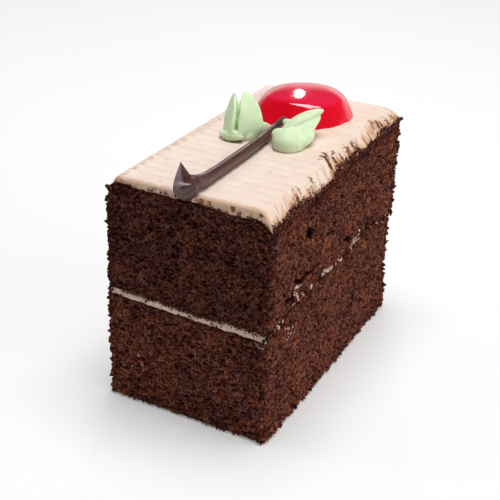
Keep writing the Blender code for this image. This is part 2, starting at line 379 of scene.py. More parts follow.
class NodeBench:
    """A material's node tree, with a method for each kind of node that the finishes share."""

    def __init__(self, name: str) -> None:
        """Starts a material with only its Principled shader.

        Args:
            name: the material's name.
        """
        self.material = bpy.data.materials.new(name)
        self.material.use_nodes = True
        self.tree = self.material.node_tree
        self.shader = self.tree.nodes["Principled BSDF"]
        self.places = self.tree.nodes.new("ShaderNodeTexCoord").outputs["Object"]

    def set(self, **values: float | tuple[float, ...]) -> None:
        """Sets sockets of the shader.

        Args:
            values: the sockets' values, under their names in lower case with underscores.
        """
        names = {socket.name.lower().replace(" ", "_"): socket for socket in self.shader.inputs}
        for name, value in values.items():
            names[name].default_value = value

    def link(self, source: Socket, target: str) -> None:
        """Links a socket to the shader's named input."""
        self.tree.links.new(source, self.shader.inputs[target])

    def feed(self, target: Socket, value: Socket | Colour | float) -> None:
        """Gives a node's input its value.

        Args:
            target: the input.
            value: a socket to link to it, or the colour or number it takes.
        """
        if isinstance(value, Socket):
            self.tree.links.new(value, target)
        else:
            target.default_value = (*value, 1.0) if isinstance(value, tuple) else value

    def attribute(self, name: str) -> Socket:
        """A value that the mesh holds at its points.

        Args:
            name: the value's name.

        Returns:
            The value.
        """
        node = self.tree.nodes.new("ShaderNodeAttribute")
        node.attribute_name = name
        return node.outputs["Fac"]

    def noise(self, size: float, detail: float = 2.0, roughness: float = 0.5) -> Socket:
        """Smooth noise over the object.

        Args:
            size: the width of its features, in millimetres.
            detail: how many finer scales are added.
            roughness: how strong each of them is next to the last.

        Returns:
            The noise, from 0 to 1 and mostly near 0.5.
        """
        node = self.tree.nodes.new("ShaderNodeTexNoise")
        self.tree.links.new(self.places, node.inputs["Vector"])
        node.inputs["Scale"].default_value = 1 / (size * MM)
        node.inputs["Detail"].default_value = detail
        node.inputs["Roughness"].default_value = roughness
        return node.outputs["Fac"]

    def dots(self, size: float) -> Socket:
        """How near each place is to a spread of random dots.

        Args:
            size: how far apart the dots are, in millimetres.

        Returns:
            The distance to the nearest dot, over the size.
        """
        node = self.tree.nodes.new("ShaderNodeTexVoronoi")
        self.tree.links.new(self.places, node.inputs["Vector"])
        node.inputs["Scale"].default_value = 1 / (size * MM)
        return node.outputs["Distance"]

    def spread(self, source: Socket, low: float, high: float, start: float = 0.0, end: float = 1.0) -> Socket:
        """Stretches a range of values on to another, and holds it there.

        Args:
            source: the values.
            low: the value that becomes start.
            high: the value that becomes end.
            start: the result's first value.
            end: the result's last value.

        Returns:
            The stretched values.
        """
        node = self.tree.nodes.new("ShaderNodeMapRange")
        self.tree.links.new(source, node.inputs["Value"])
        for name, value in (("From Min", low), ("From Max", high), ("To Min", start), ("To Max", end)):
            node.inputs[name].default_value = value
        return node.outputs["Result"]

    def ramp(self, source: Socket, stops: Sequence[tuple[float, Colour]]) -> Socket:
        """Colours laid along a value.

        Args:
            source: the value.
            stops: positions from 0 to 1, in order, each with its colour.

        Returns:
            The colour.
        """
        node = self.tree.nodes.new("ShaderNodeValToRGB")
        self.tree.links.new(source, node.inputs["Fac"])
        elements = node.color_ramp.elements
        for element, (position, colour) in zip(elements, (stops[0], stops[-1])):
            element.position = position
            element.color = (*colour, 1.0)
        for position, colour in stops[1:-1]:
            elements.new(position).color = (*colour, 1.0)
        return node.outputs["Color"]

    def blend(
        self, share: Socket | float, first: Socket | Colour, second: Socket | Colour, way: str = "MIX"
    ) -> Socket:
        """Mixes two colours.

        Args:
            share: how much of the second.
            first: a colour or a socket.
            second: a colour or a socket.
            way: Blender's blend type.

        Returns:
            The mixed colour.
        """
        node = self.tree.nodes.new("ShaderNodeMix")
        node.data_type = "RGBA"
        node.blend_type = way
        ends = [socket for socket in node.inputs if socket.type == "RGBA"]
        for socket, value in zip((node.inputs[0], *ends), (share, first, second)):
            self.feed(socket, value)
        return next(socket for socket in node.outputs if socket.type == "RGBA")

    def math(self, way: str, first: Socket | float, second: Socket | float) -> Socket:
        """Joins two values.

        Args:
            way: the operation.
            first: a number or a socket.
            second: a number or a socket.

        Returns:
            The result.
        """
        node = self.tree.nodes.new("ShaderNodeMath")
        node.operation = way
        for socket, value in zip(node.inputs, (first, second)):
            self.feed(socket, value)
        return node.outputs[0]

    def bump(self, height: Socket, depth: float) -> None:
        """Gives the shader fine relief.

        Args:
            height: its height, from 0 to 1.
            depth: how tall a height of 1 is, in millimetres.
        """
        node = self.tree.nodes.new("ShaderNodeBump")
        node.inputs["Strength"].default_value = 1.0
        node.inputs["Distance"].default_value = depth * MM
        self.tree.links.new(height, node.inputs["Height"])
        self.link(node.outputs["Normal"], "Normal")


@dataclass(frozen=True)
class CrumbFinish:
    """Moist chocolate crumb: red-brown on its grains, near black in its pores by painted shade, lighter on
    grain tips by a painted highlight, with a faint moist glint.
    """

    # The first two colours are painted shade for the pits, and the fifth is a painted highlight for the grain
    # tips.
    pore_shade: Colour = (0.0065, 0.0022, 0.0019)
    deep: Colour = (0.027, 0.0082, 0.0068)
    wall: Colour = (0.078, 0.0200, 0.0130)
    grain: Colour = (0.153, 0.0470, 0.0305)
    tip_highlight: Colour = (0.265, 0.118, 0.082)
    plum: Colour = (0.76, 0.76, 0.92)
    rust: Colour = (1.26, 1.08, 0.82)
    # A painted shade colour, laid on where the mesh holds painted shade and random darker patches.
    damp: Colour = (0.46, 0.48, 0.60)

    def material(self) -> Material:
        """Colour by height in the crumb, from painted shade in the pits to a painted highlight on the tips,
        broken up by noise and by dark dots that are painted pores, and darker where the mesh holds painted
        shade and random patches.

        Patches of two sizes turn it towards plum and towards rust.

        Returns:
            The material.
        """
        bench = NodeBench("chocolate_crumb")
        speck = bench.noise(0.42, 4.0, 0.75)
        level = bench.math("ADD", bench.attribute("height"), bench.spread(speck, 0.30, 0.70, -0.28, 0.34))
        # Dark dots: painted pores, that is painted shade.
        level = bench.math("ADD", level, bench.spread(bench.dots(0.80), 0.12, 0.40, -0.50, 0.05))
        # The ramp paints shade low in the crumb and a highlight on its tips.
        stops = ((0.08, self.pore_shade), (0.40, self.deep), (0.66, self.wall), (0.90, self.grain), (1.0, self.tip_highlight))
        colour = bench.ramp(level, stops)
        for size, share in ((1.6, 0.75), (5.0, 0.6)):
            hue = bench.blend(bench.spread(bench.noise(size, 3.0, 0.6), 0.42, 0.60), self.plum, self.rust)
            colour = bench.blend(share, colour, bench.blend(1.0, colour, hue, "MULTIPLY"))
        # Painted shade, with random darker patches, from the mesh.
        colour = bench.blend(bench.attribute("damp"), colour, bench.blend(1.0, colour, self.damp, "MULTIPLY"))
        bench.link(colour, "Base Color")
        bench.link(bench.spread(bench.noise(0.6), 0.35, 0.65, 0.70, 0.95), "Roughness")
        bench.set(specular_ior_level=0.05)
        bench.bump(bench.noise(0.34, 3.0, 0.7), 0.22)
        return bench.material


@dataclass(frozen=True)
class FrostingFinish:
    """Pale coffee frosting, smeared tan and crumbed where the knife went, with painted shade between the lips
    at the left edge of its top.
    """

    cream: Colour = (0.85, 0.695, 0.60)
    pale: Colour = (0.88, 0.755, 0.67)
    tan: Colour = (0.67, 0.41, 0.26)
    caramel: Colour = (0.42, 0.16, 0.045)
    stain: Colour = (0.27, 0.100, 0.055)
    crumb: Colour = (0.045, 0.016, 0.013)

    def material(self) -> Material:
        """Cream, covered in turn by the shares of tan, caramel and crumb that the mesh holds.

        Half a share of crumb is a warm stain, and a whole one is the crumb's own dark brown.

        Returns:
            The material.
        """
        bench = NodeBench("coffee_frosting")
        colour = bench.blend(bench.spread(bench.noise(5.0, 3.0), 0.35, 0.65), self.cream, self.pale)
        for name, cover in (("tan", self.tan), ("caramel", self.caramel)):
            colour = bench.blend(bench.attribute(name), colour, cover)
        for start, cover in ((0.0, self.stain), (0.5, self.crumb)):
            share = bench.spread(bench.attribute("crumb"), start, start + 0.5)
            colour = bench.blend(share, colour, cover)
        bench.link(colour, "Base Color")
        bench.set(roughness=0.5, specular_ior_level=0.3, subsurface_weight=0.12, subsurface_scale=1.0 * MM)
        bench.set(subsurface_radius=(1.0, 0.7, 0.5))
        bench.bump(bench.noise(0.6, 2.0), 0.03)
        return bench.material


@dataclass(frozen=True)
class FillingFinish:
    """The spread cream between the layers, greyer than the frosting and full of crumbs."""

    cream: Colour = (0.80, 0.62, 0.51)
    shade: Colour = (0.62, 0.43, 0.32)
    crumb: Colour = (0.07, 0.028, 0.018)

    def material(self) -> Material:
        """Cream clouded by noise, with crumbs where fine noise is highest.

        Returns:
            The material.
        """
        bench = NodeBench("filling_cream")
        cream = bench.blend(bench.spread(bench.noise(1.8, 3.0), 0.35, 0.65), self.cream, self.shade)
        crumbs = bench.spread(bench.noise(0.8, 2.0), 0.64, 0.70)
        bench.link(bench.blend(crumbs, cream, self.crumb), "Base Color")
        bench.set(roughness=0.55, specular_ior_level=0.3, subsurface_weight=0.1, subsurface_scale=1.0 * MM)
        bench.bump(bench.noise(0.6, 2.0), 0.08)
        return bench.material


@dataclass(frozen=True)
class JellyFinish:
    """Set red jelly: deep saturated red under a wet gloss, and pinker everywhere but on its steep near side,
    a painted reflection of the pale surround.
    """

    red: Colour = (0.80, 0.0008, 0.016)
    # The pinker colour of the painted reflection.
    crown: Colour = (0.86, 0.0045, 0.052)

    def material(self) -> Material:
        """A coloured body that light enters a little, and a mirror-smooth coat.

        Returns:
            The material.
        """
        bench = NodeBench("set_red_jelly")
        # Pinker where the mesh holds the painted reflection.
        bench.link(bench.blend(bench.attribute("crown"), self.red, self.crown), "Base Color")
        bench.set(
            roughness=0.1, specular_ior_level=0.1, coat_weight=1.0, coat_ior=1.75, coat_roughness=0.02,
            subsurface_weight=0.15, subsurface_scale=3.0 * MM, subsurface_radius=(1.0, 0.1, 0.15),
        )
        return bench.material


@dataclass(frozen=True)
class LeafFinish:
    """Pale green piped cream, a little clouded."""

    light: Colour = (0.72, 0.865, 0.575)
    shaded: float = 0.92

    def material(self) -> Material:
        """Soft satin cream with a slow change of colour and light that goes in a millimetre or two.

        Returns:
            The material.
        """
        bench = NodeBench("green_piped_cream")
        cloud = bench.spread(bench.noise(3.0, 2.0), 0.35, 0.7)
        bench.link(bench.blend(cloud, self.light, tuple(self.shaded * c for c in self.light)), "Base Color")
        bench.set(roughness=0.42, specular_ior_level=0.4, subsurface_weight=0.5, subsurface_scale=1.6 * MM)
        bench.set(subsurface_radius=(0.7, 1.0, 0.35))
        bench.bump(bench.noise(0.5, 2.0), 0.02)
        return bench.material


@dataclass(frozen=True)
class ChocolateFinish:
    """Set piping chocolate: dark plum brown, half glossy, with a dull bloom and a painted lilac highlight."""

    dark: Colour = (0.052, 0.0195, 0.0170)
    bloom_and_highlight: Colour = (0.122, 0.042, 0.034)
    lilac_highlight: Colour = (0.37, 0.28, 0.30)

    def material(self) -> Material:
        """Brown clouded by bloom, with roughness that follows it, and lilac where the mesh holds a painted
        highlight.

        Returns:
            The material.
        """
        bench = NodeBench("piped_chocolate")
        cloud = bench.spread(bench.noise(1.5, 4.0, 0.6), 0.34, 0.68)
        brown = bench.blend(cloud, self.dark, self.bloom_and_highlight)
        # Painted highlight: lilac where the mesh says the front end faces up, forward and to the left.
        bench.link(bench.blend(bench.attribute("bloom_and_highlight"), brown, self.lilac_highlight), "Base Color")
        bench.link(bench.spread(cloud, 0.0, 1.0, 0.28, 0.40), "Roughness")
        bench.set(specular_ior_level=0.6)
        bench.bump(bench.noise(2.4, 1.0, 0.5), 0.006)
        return bench.material


# The slice's form


@dataclass(frozen=True)
class SliceForm:
    """The cut block that the layers fill: its sides, and the height of each surface between layers."""

    half_width: float
    half_length: float
    filling_level: float
    frosting_level: float
    top_level: float
    filling_lift: float = 1.2
    frosting_depth: float = 2.65
    ridge_room: float = 0.35
    filling_thickness: float = 2.1
    tilt: float = 0.75
    arch: float = 3.0
    overhang: float = 1.1
    flare_height: float = 34.0
    flare_right: float = 0.8
    flare_front: float = 1.5
    shoulder_widths: Pair = (3.8, 5.0)
    shoulder_drops: Pair = (4.7, 2.4)
    left_drop: float = 2.3
    setback: float = 2.6
    thinned_edge: float = 1.0
    ragged: float = 0.22
    crumb_line: Points = (
        (-44.0, 60.4), (-33.5, 61.1), (-26.5, 61.3), (-19.5, 60.6), (-12.0, 60.4), (-8.0, 60.6),
        (-4.0, 62.1), (4.0, 62.3), (8.0, 62.5), (12.5, 62.0), (17.0, 62.3), (21.5, 62.1), (26.0, 62.5),
        (35.5, 62.4), (43.0, 62.2),
    )

    @classmethod
    def from_frame(cls) -> SliceForm:
        """Takes the block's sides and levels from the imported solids.

        Returns:
            The form, whose surfaces lie a little inside the solids' box.
        """
        low, high = node_box("sponge_upper")
        filling_low, _ = node_box("cream_filling")
        _, frosting_high = node_box("frosting")
        return cls(
            half_width=(high[0] - low[0]) / 2 - cls.ragged,
            half_length=(high[1] - low[1]) / 2 - cls.ragged,
            filling_level=filling_low[2] + cls.filling_lift,
            frosting_level=frosting_high[2] - cls.frosting_depth,
            top_level=frosting_high[2] - cls.ridge_room,
        )

    def filling_floor(self, x: Array, y: Array) -> Array:
        """The lower sponge's top: tilted down to the near right corner, and arched along the right side.

        Args:
            x: places across the slice.
            y: places along it.

        Returns:
            Its heights.
        """
        across, along = x / self.half_width, y / self.half_length
        tilt = -self.tilt * across * (1 - along)
        arch = self.arch * eased((across + 1) / 2) * (1 - along**2)
        return self.filling_level + tilt + arch + self.seam_wander(x, y)

    def seam_wander(self, x: Array, y: Array) -> Array:
        """How the seam between the layers strays along the right side, where the cream is torn.

        Args:
            x: places across the slice.
            y: places along it.

        Returns:
            How far it lies over its even line.
        """
        spot = np.stack([0 * y, y, 0 * y], axis=-1)
        stray = 1.3 * ripple(spot, 7.0, 21) + 0.7 * ripple(spot, 2.2, 22)
        side = eased((x / self.half_width - 0.9) / 0.09)
        return stray * side * eased((1 - np.abs(y) / self.half_length) * 12)

    def filling_ceiling(self, x: Array, y: Array) -> Array:
        """The upper sponge's underside: the filling's thickness over its floor, with a slow swell.

        Args:
            x: places across the slice.
            y: places along it.

        Returns:
            Its heights.
        """
        across, along = x / self.half_width, y / self.half_length
        thicker = 0.2 * across * (1 - along) + 0.25 * np.sin(5.1 * across + 2.3 * along)
        return self.filling_floor(x, y) + self.filling_thickness + thicker

    def shoulder_reach(self, x: Array, y: Array) -> Array:
        """How far places lie into the right shoulder, which widens from front to back.

        Args:
            x: places across the slice.
            y: places along it.

        Returns:
            0 where the shoulder begins, to 1 at the slice's side.
        """
        along = eased((y / self.half_length + 1) / 2)
        near, far = self.shoulder_widths
        return np.maximum(0.0, 1 - (self.half_width - x) / (near + (far - near) * along))

    def shoulder(self, x: Array, y: Array) -> Array:
        """How far the knife pulled the top down: the drop times the reach to the power 1.5.

        Args:
            x: places across the slice.
            y: places along it.

        Returns:
            The drop in millimetres.
        """
        along = eased((y / self.half_length + 1) / 2)
        near, far = self.shoulder_drops
        return (near + (far - near) * along) * self.shoulder_reach(x, y) ** 1.5

    def frosting_floor(self, x: Array, y: Array) -> Array:
        """The upper sponge's top: a little lower to the right, and rounded off along both long edges.

        Args:
            x: places across the slice.
            y: places along it.

        Returns:
            Its heights.
        """
        left = np.maximum(0.0, 1 - (self.half_width + x) / (1.4 * self.setback))
        thinned = self.top_level - self.frosting_level - self.thinned_edge
        thinned = thinned * eased(self.shoulder_reach(x, y))
        return self.frosting_level - 0.03 * x - self.left_drop * left**1.5 - self.shoulder(x, y) + thinned

    def brow(self, y: Array) -> Array:
        """How high the crumb of the right side reaches over the shoulder: a jagged line along the slice.

        Args:
            y: places along it.

        Returns:
            The heights.
        """
        spot = np.stack([0 * y, y, 0 * y], axis=-1)
        edge = self.top_level - self.shoulder(np.full_like(y, self.half_width), y) - 0.30
        line = np.maximum(np.interp(y, *zip(*self.crumb_line)), edge)
        return line + 0.50 * ripple(spot, 1.3, 460, 3) + 0.25 * ripple(spot, 5.0, 461)

    def damp(self, places: Array) -> Array:
        """How much the crumb is darkened: painted shade, most on the upper layer's front, a darker band under
        the brow, and random patches.

        Args:
            places: places on the cut.

        Returns:
            The darkening, from 0 to 1.
        """
        x, y, z = (places[..., axis] for axis in range(3))
        upper = eased((z - self.filling_ceiling(x, y)) / 2 + 0.5)
        # Painted shade on the cut front, strongest on the upper layer.
        front = eased((-y / self.half_length - 0.93) / 0.05) * (0.72 * upper + 0.16 * (1 - upper))
        side = eased((x / self.half_width - 0.9) / 0.06) * (1 - eased((-y / self.half_length - 0.95) / 0.05))
        band = 0.75 * side * eased(1.2 - (self.brow(y) - z) / (2.6 + 1.2 * ripple(places, 3.0, 33)))
        return np.clip(front + band + 0.34 * ripple(places, 5.5, 31, 2) - 0.06, 0, 1)

    def undercut(self, x: Array, z: Array) -> Array:
        """How far the lower layer's right side stands in under the upper layer's."""
        return self.overhang * eased(z / self.flare_height * 2) * np.maximum(0.0, x / self.half_width) ** 3

    def spread_foot(self, places: Array) -> Array:
        """How far the foot spreads beyond the block's sides, by the cube of x and the ninth power of y.

        Args:
            places: places on the cut.

        Returns:
            Each place's shift.
        """
        across, along = places[..., 0] / self.half_width, places[..., 1] / self.half_length
        foot = eased(1 - places[..., 2] / self.flare_height)
        right = np.maximum(0.0, across) ** 3 * self.flare_right * foot * (1 - along) / 2
        front = -(np.maximum(0.0, -along) ** 9) * self.flare_front * foot * (1 + across) / 2
        return np.stack([right, front, np.zeros_like(right)], axis=-1)


def middles(places: Array) -> Array:
    """The two points over the origin at the mean heights of a skin's first and last row."""
    return np.array([[0.0, 0.0, places[row, :, 2].mean()] for row in (0, -1)])


@dataclass(frozen=True)
class Outline:
    """A walk round the slice's four sides, anticlockwise from the left end of the front."""

    places: Array
    outward: Array

    @classmethod
    def around(cls, half: Pair, corner: float, steps: Pair) -> Outline:
        """A rectangle with round corners.

        Args:
            half: the half width and half length.
            corner: the corners' radius.
            steps: the spacing along the front and right sides, and along the back and left.

        Returns:
            The walk, with places and outward directions of two coordinates each.
        """
        fine, coarse = steps
        inner = np.array([half[0] - corner, half[1] - corner])
        corners = np.array([[1, -1], [1, 1], [-1, 1], [-1, -1]]) * inner
        places, outward = [], []
        for turn, step in enumerate((fine, fine, coarse, coarse)):
            facing = (turn - 1) * math.pi / 2
            direction = np.array([math.cos(facing), math.sin(facing)])
            start, end = corners[turn - 1], corners[turn]
            share = np.arange(0, 1, 1 / math.ceil(np.linalg.norm(end - start) / step))[:, None]
            places.append(start + (end - start) * share + direction * corner)
            outward.append(np.repeat(direction[None, :], len(share), axis=0))
            angles = facing + np.arange(0, 1, 1 / math.ceil(corner * math.pi / 2 / step)) * math.pi / 2
            ray = np.stack([np.cos(angles), np.sin(angles)], axis=-1)
            places.append(end + ray * corner)
            outward.append(ray)
        return cls(np.concatenate(places), np.concatenate(outward))


class Layer(Enum):
    """The two sponge layers."""

    LOWER = "lower"
    UPPER = "upper"


@dataclass
class SpongeLayer:
    """One baked layer, cut on all sides, with the relief of its open crumb.

    Its pits are given by width and depth. tears are strokes torn out of the right side, by y and z.
    """

    form: SliceForm
    layer: Layer
    corner: float = 1.7
    steps: Pair = (0.275, 0.45)
    row_step: float = 0.285
    rim: float = 0.7
    warp: float = 0.45
    squash: Place = (0.72, 0.68, 1.25)
    coarse_pits: Pair = (1.25, 1.15)
    fine_pits: Pair = (0.76, 0.6)
    hole_spacing: float = 5.0
    hole_depth: float = 1.4
    brow_shade: float = 0.34
    tears: tuple[Stroke, ...] = strokes(
        (-22.0, 51.9, -19.4, 50.3, 1.3, 2.0, 1.5), (21.8, 37.2, 20.8, 33.0, 1.3, 1.5, 1.3),
        (12.4, 34.9, 13.9, 32.2, 1.1, 1.1, 1.2), (3.7, 38.8, 7.1, 38.0, 0.7, 0.8, 1.1),
        (-8.8, 45.4, -3.7, 44.7, 0.4, 0.5, 0.8), (-33.4, 37.3, -29.5, 36.2, 0.9, 0.9, 1.2),
        (26.4, 34.6, 29.2, 33.4, 0.9, 1.1, 1.1), (33.2, 32.6, 35.4, 31.6, 0.8, 1.0),
        (5.9, 34.4, 3.6, 32.9, 1.1, 1.0, 1.2), (5.2, 37.5, 7.8, 37.2, 0.7, 0.8, 0.8),
        (-32.9, 29.2, -32.3, 29.5, 1.0, 1.0), (-29.3, 40.9, -24.8, 38.9, 0.7, 0.8, 1.7),
        (-24.8, 38.9, -21.0, 39.5, 0.8, 0.6, 1.7), (-21.0, 39.5, -16.5, 38.7, 0.6, 0.7, 1.6),
        (-16.5, 38.7, -13.2, 38.9, 0.7, 0.3, 1.3), (-31.0, 38.5, -29.0, 34.5, 0.7, 0.9, 1.2),
        (30.0, 47.0, 31.2, 46.2, 0.8, 0.8, 0.9), (-4.5, 47.5, -3.6, 46.9, 0.8, 0.7, 0.8),
        (12.0, 50.5, 12.6, 49.9, 0.7, 0.7, 0.8), (-12.0, 18.5, -11.2, 18.1, 0.8, 0.7, 0.8),
        (16.0, 14.5, 16.6, 14.0, 0.8, 0.8, 0.8),
    )

    @property
    def seed(self) -> int:
        """Picks the layer's own pattern of crumb."""
        return 100 if self.layer is Layer.LOWER else 200

    def surfaces(self) -> tuple[Callable[[Array, Array], Array], Callable[[Array, Array], Array]]:
        """The layer's underside and top.

        Returns:
            For each, its height over the base as a function of x and y.
        """
        if self.layer is Layer.LOWER:
            return (lambda x, y: np.zeros_like(x)), self.form.filling_floor
        return self.form.filling_ceiling, self.form.frosting_floor

    def profile(self, height: float) -> tuple[Array, Array, Array, Array]:
        """The layer's section from the middle of its underside to the middle of its top.

        Args:
            height: the layer's height, which the rows' spacing follows.

        Returns:
            By row: how far it stands in from the side, its share of the height, its height over that in
            millimetres, and how much of the crumb's relief it takes.
        """
        sides = np.linspace(self.rim / height, 1 - self.rim / height, round(height / self.row_step))
        inset = np.concatenate([[9, 3, 0.9, 0.3], np.zeros(len(sides)), [0.12, 0.45, 1.0, 1.8, 3.2, 9]])
        share = np.concatenate([[0, 0, 0, 0], sides, [1, 1, 1, 1, 1, 1]])
        lift = np.concatenate([[0, 0, 0, 0.2], np.zeros(len(sides)), [-0.35, -0.12, 0, 0, 0, 0]])
        relief = np.concatenate([[0, 0, 0, 0.5], np.ones(len(sides)), [1, 0.9, 0.8, 0.6, 0.3, 0]])
        return inset, share, lift, relief

    def crumb(self, places: Array) -> tuple[Array, Array]:
        """The crumb's relief at places of the cut surface.

        The places are first shifted by noise, so that nothing is straight. Pits of two sizes lie between
        walls, a few larger holes are sunk round random dots, and fine noise roughens the walls. A slow swell
        of the cut lies under it all. On the right side, strokes are torn out, and it darkens under the brow.

        Args:
            places: places on the plain cut.

        Returns:
            How far the surface stands out there, in millimetres, and how high that is in the crumb, from 0
            to 1, which the crumb's material paints as shade where it is low and as a highlight where it is
            high.
        """
        seed = self.seed
        shift = np.stack([ripple(places, 1.3, seed + 11 * k, 2) for k in range(3)], axis=-1)
        warped = (places + self.warp * shift) * np.array(self.squash)
        coarse = open_cells(warped, self.coarse_pits[0], seed + 40)
        fine = open_cells(warped, self.fine_pits[0], seed + 50)
        hole, _, hole_number = scattered_dots(warped, self.hole_spacing, seed + 60)
        front = eased((-places[..., 1] / self.form.half_length - 0.93) / 0.05)
        holes = eased((0.02 + 0.16 * hole_number**6 - hole) / 0.06) * (1 - 0.6 * front)
        rough = 0.26 * ripple(places, 0.8, seed + 85, 2)
        swell = 0.28 * ripple(places, 9.0, seed + 80, 2) + 0.24 * ripple(places, 2.6, seed + 90)
        relief = rough - self.coarse_pits[1] * (1 - 0.35 * front) * coarse - self.fine_pits[1] * fine
        side = eased((places[..., 0] / self.form.half_width - 0.86) / 0.08)
        torn = side * covered(self.tears, places[..., 1], places[..., 2] + 0.5 * shift[..., 2])
        # Painted shade: the colour value drops in pits, in holes and where strokes are torn out.
        height = np.clip(0.88 + 0.78 * relief, 0, 1) * (1 - holes) * (1 - 0.96 * np.minimum(1.25 * torn, 1.0))
        below = self.form.brow(places[..., 1]) - places[..., 2] + 1.2 * shift[..., 0]
        height *= 1 - self.brow_shade * side * eased(1.1 - below / 3.6)
        return 0.04 + relief + swell - self.hole_depth * holes - torn, height

    def build(self, finish: Material) -> None:
        """Makes the layer's skin, and puts it in place of its solid.

        Args:
            finish: the crumb's material.
        """
        form, under_top = self.form, self.surfaces()
        outline = Outline.around((form.half_width, form.half_length), self.corner, self.steps)
        low, high = node_box(f"sponge_{self.layer.value}")
        inset, share, lift, relief = (row[:, None] for row in self.profile(high[2] - low[2]))
        half = np.array([form.half_width, form.half_length])
        flat = outline.places[None] * (1 - inset[..., None] / half)
        x, y = flat[..., 0], flat[..., 1]
        under, top = (surface(x, y) for surface in under_top)
        if self.layer is Layer.UPPER:
            near = eased((x - form.half_width) / 0.5 + 2.2)
            top = np.maximum(top, near * form.brow(y) - 9 * (1 - near))
        z = under * (1 - share) + top * share + lift
        places = np.stack([x, y, z], axis=-1)
        places += form.spread_foot(places)
        offset, height = self.crumb(places)
        steep = eased(1 - np.abs(inset - 0.1) / 1.6)
        side = np.concatenate([np.broadcast_to(outline.outward, (len(inset), *outline.outward.shape)),
                               np.zeros((*x.shape, 1))], axis=-1)
        rise = np.where(share > 0.5, 1.0, -1.0) * (1 - steep)
        direction = side * steep[..., None] + rise[..., None] * np.array([0, 0, 1.0])
        if self.layer is Layer.LOWER:
            places[..., 0] -= form.undercut(x, z)
            relief = np.where(share > 0, relief, 0.0)
        places += direction * (offset * relief)[..., None]
        places[..., 2] = np.maximum(places[..., 2], 0.0)
        shell = Shell()
        # The crumb's colour takes painted shade in its pits and on its front, and random darker patches.
        numbers = shell.add(places, height=height, damp=form.damp(places))
        shell.sleeve(numbers, middles(places), height=np.ones(2), damp=np.zeros(2))
        name = f"crumb_{self.layer.value}"
        place_piece(name, shell.mesh(name), finish, [f"sponge_{self.layer.value}"])


class CrumbKind(Enum):
    """Loose crumbs that cling to the cut."""

    GRAINS = ("crumb_grains", 9000, (0.17, 0.36), 1.15, 0.05)
    LUMPS = ("crumb_lumps", 2600, (0.30, 0.52), 1.35, 0.20)
    SHREDS = ("crumb_shreds", 1500, (0.18, 0.30), 2.2, 0.0)
    EDGES = ("crumb_edges", 2400, (0.22, 0.72), 1.6, 0.16)
    BROW = ("crumb_brow", 2600, (0.16, 0.42), 1.4, 0.0)
    FRINGE = ("crumb_fringe", 900, (0.12, 0.26), 1.4, 0.12)
    DUST = ("crumb_dust", 3200, (0.07, 0.19), 1.5, 0.0)

    def __init__(
        self, piece: str, count: int, radii: Pair, stretch: float, depth: float
    ) -> None:
        """Names the parts of a kind's value.

        Args:
            piece: the name of the piece that holds them.
            count: how many there are at most.
            radii: the smallest and the largest radius.
            stretch: how much longer than wide they are.
            depth: how far their middles lie in the cut.
        """
        self.piece, self.count, self.radii, self.stretch, self.depth = piece, count, radii, stretch, depth


def lump() -> tuple[Array, Array]:
    """A twenty-sided ball, whose corners are those of three golden rectangles square to each other.

    Returns:
        Its twelve corners, on the unit sphere, and its faces.
    """
    golden = (1 + math.sqrt(5)) / 2
    card = [(-1, golden, 0), (1, golden, 0), (-1, -golden, 0), (1, -golden, 0)]
    corners = np.concatenate([np.roll(card, turn, axis=1) for turn in range(3)])
    faces = [
        (0, 11, 5), (0, 5, 1), (0, 1, 7), (0, 7, 10), (0, 10, 11), (1, 5, 9), (5, 11, 4),
        (11, 10, 2), (10, 7, 6), (7, 1, 8), (3, 9, 4), (3, 4, 2), (3, 2, 6), (3, 6, 8),
        (3, 8, 9), (4, 9, 5), (2, 4, 11), (6, 2, 10), (8, 6, 7), (9, 8, 1),
    ]
    return corners / math.hypot(1, golden), np.array(faces)


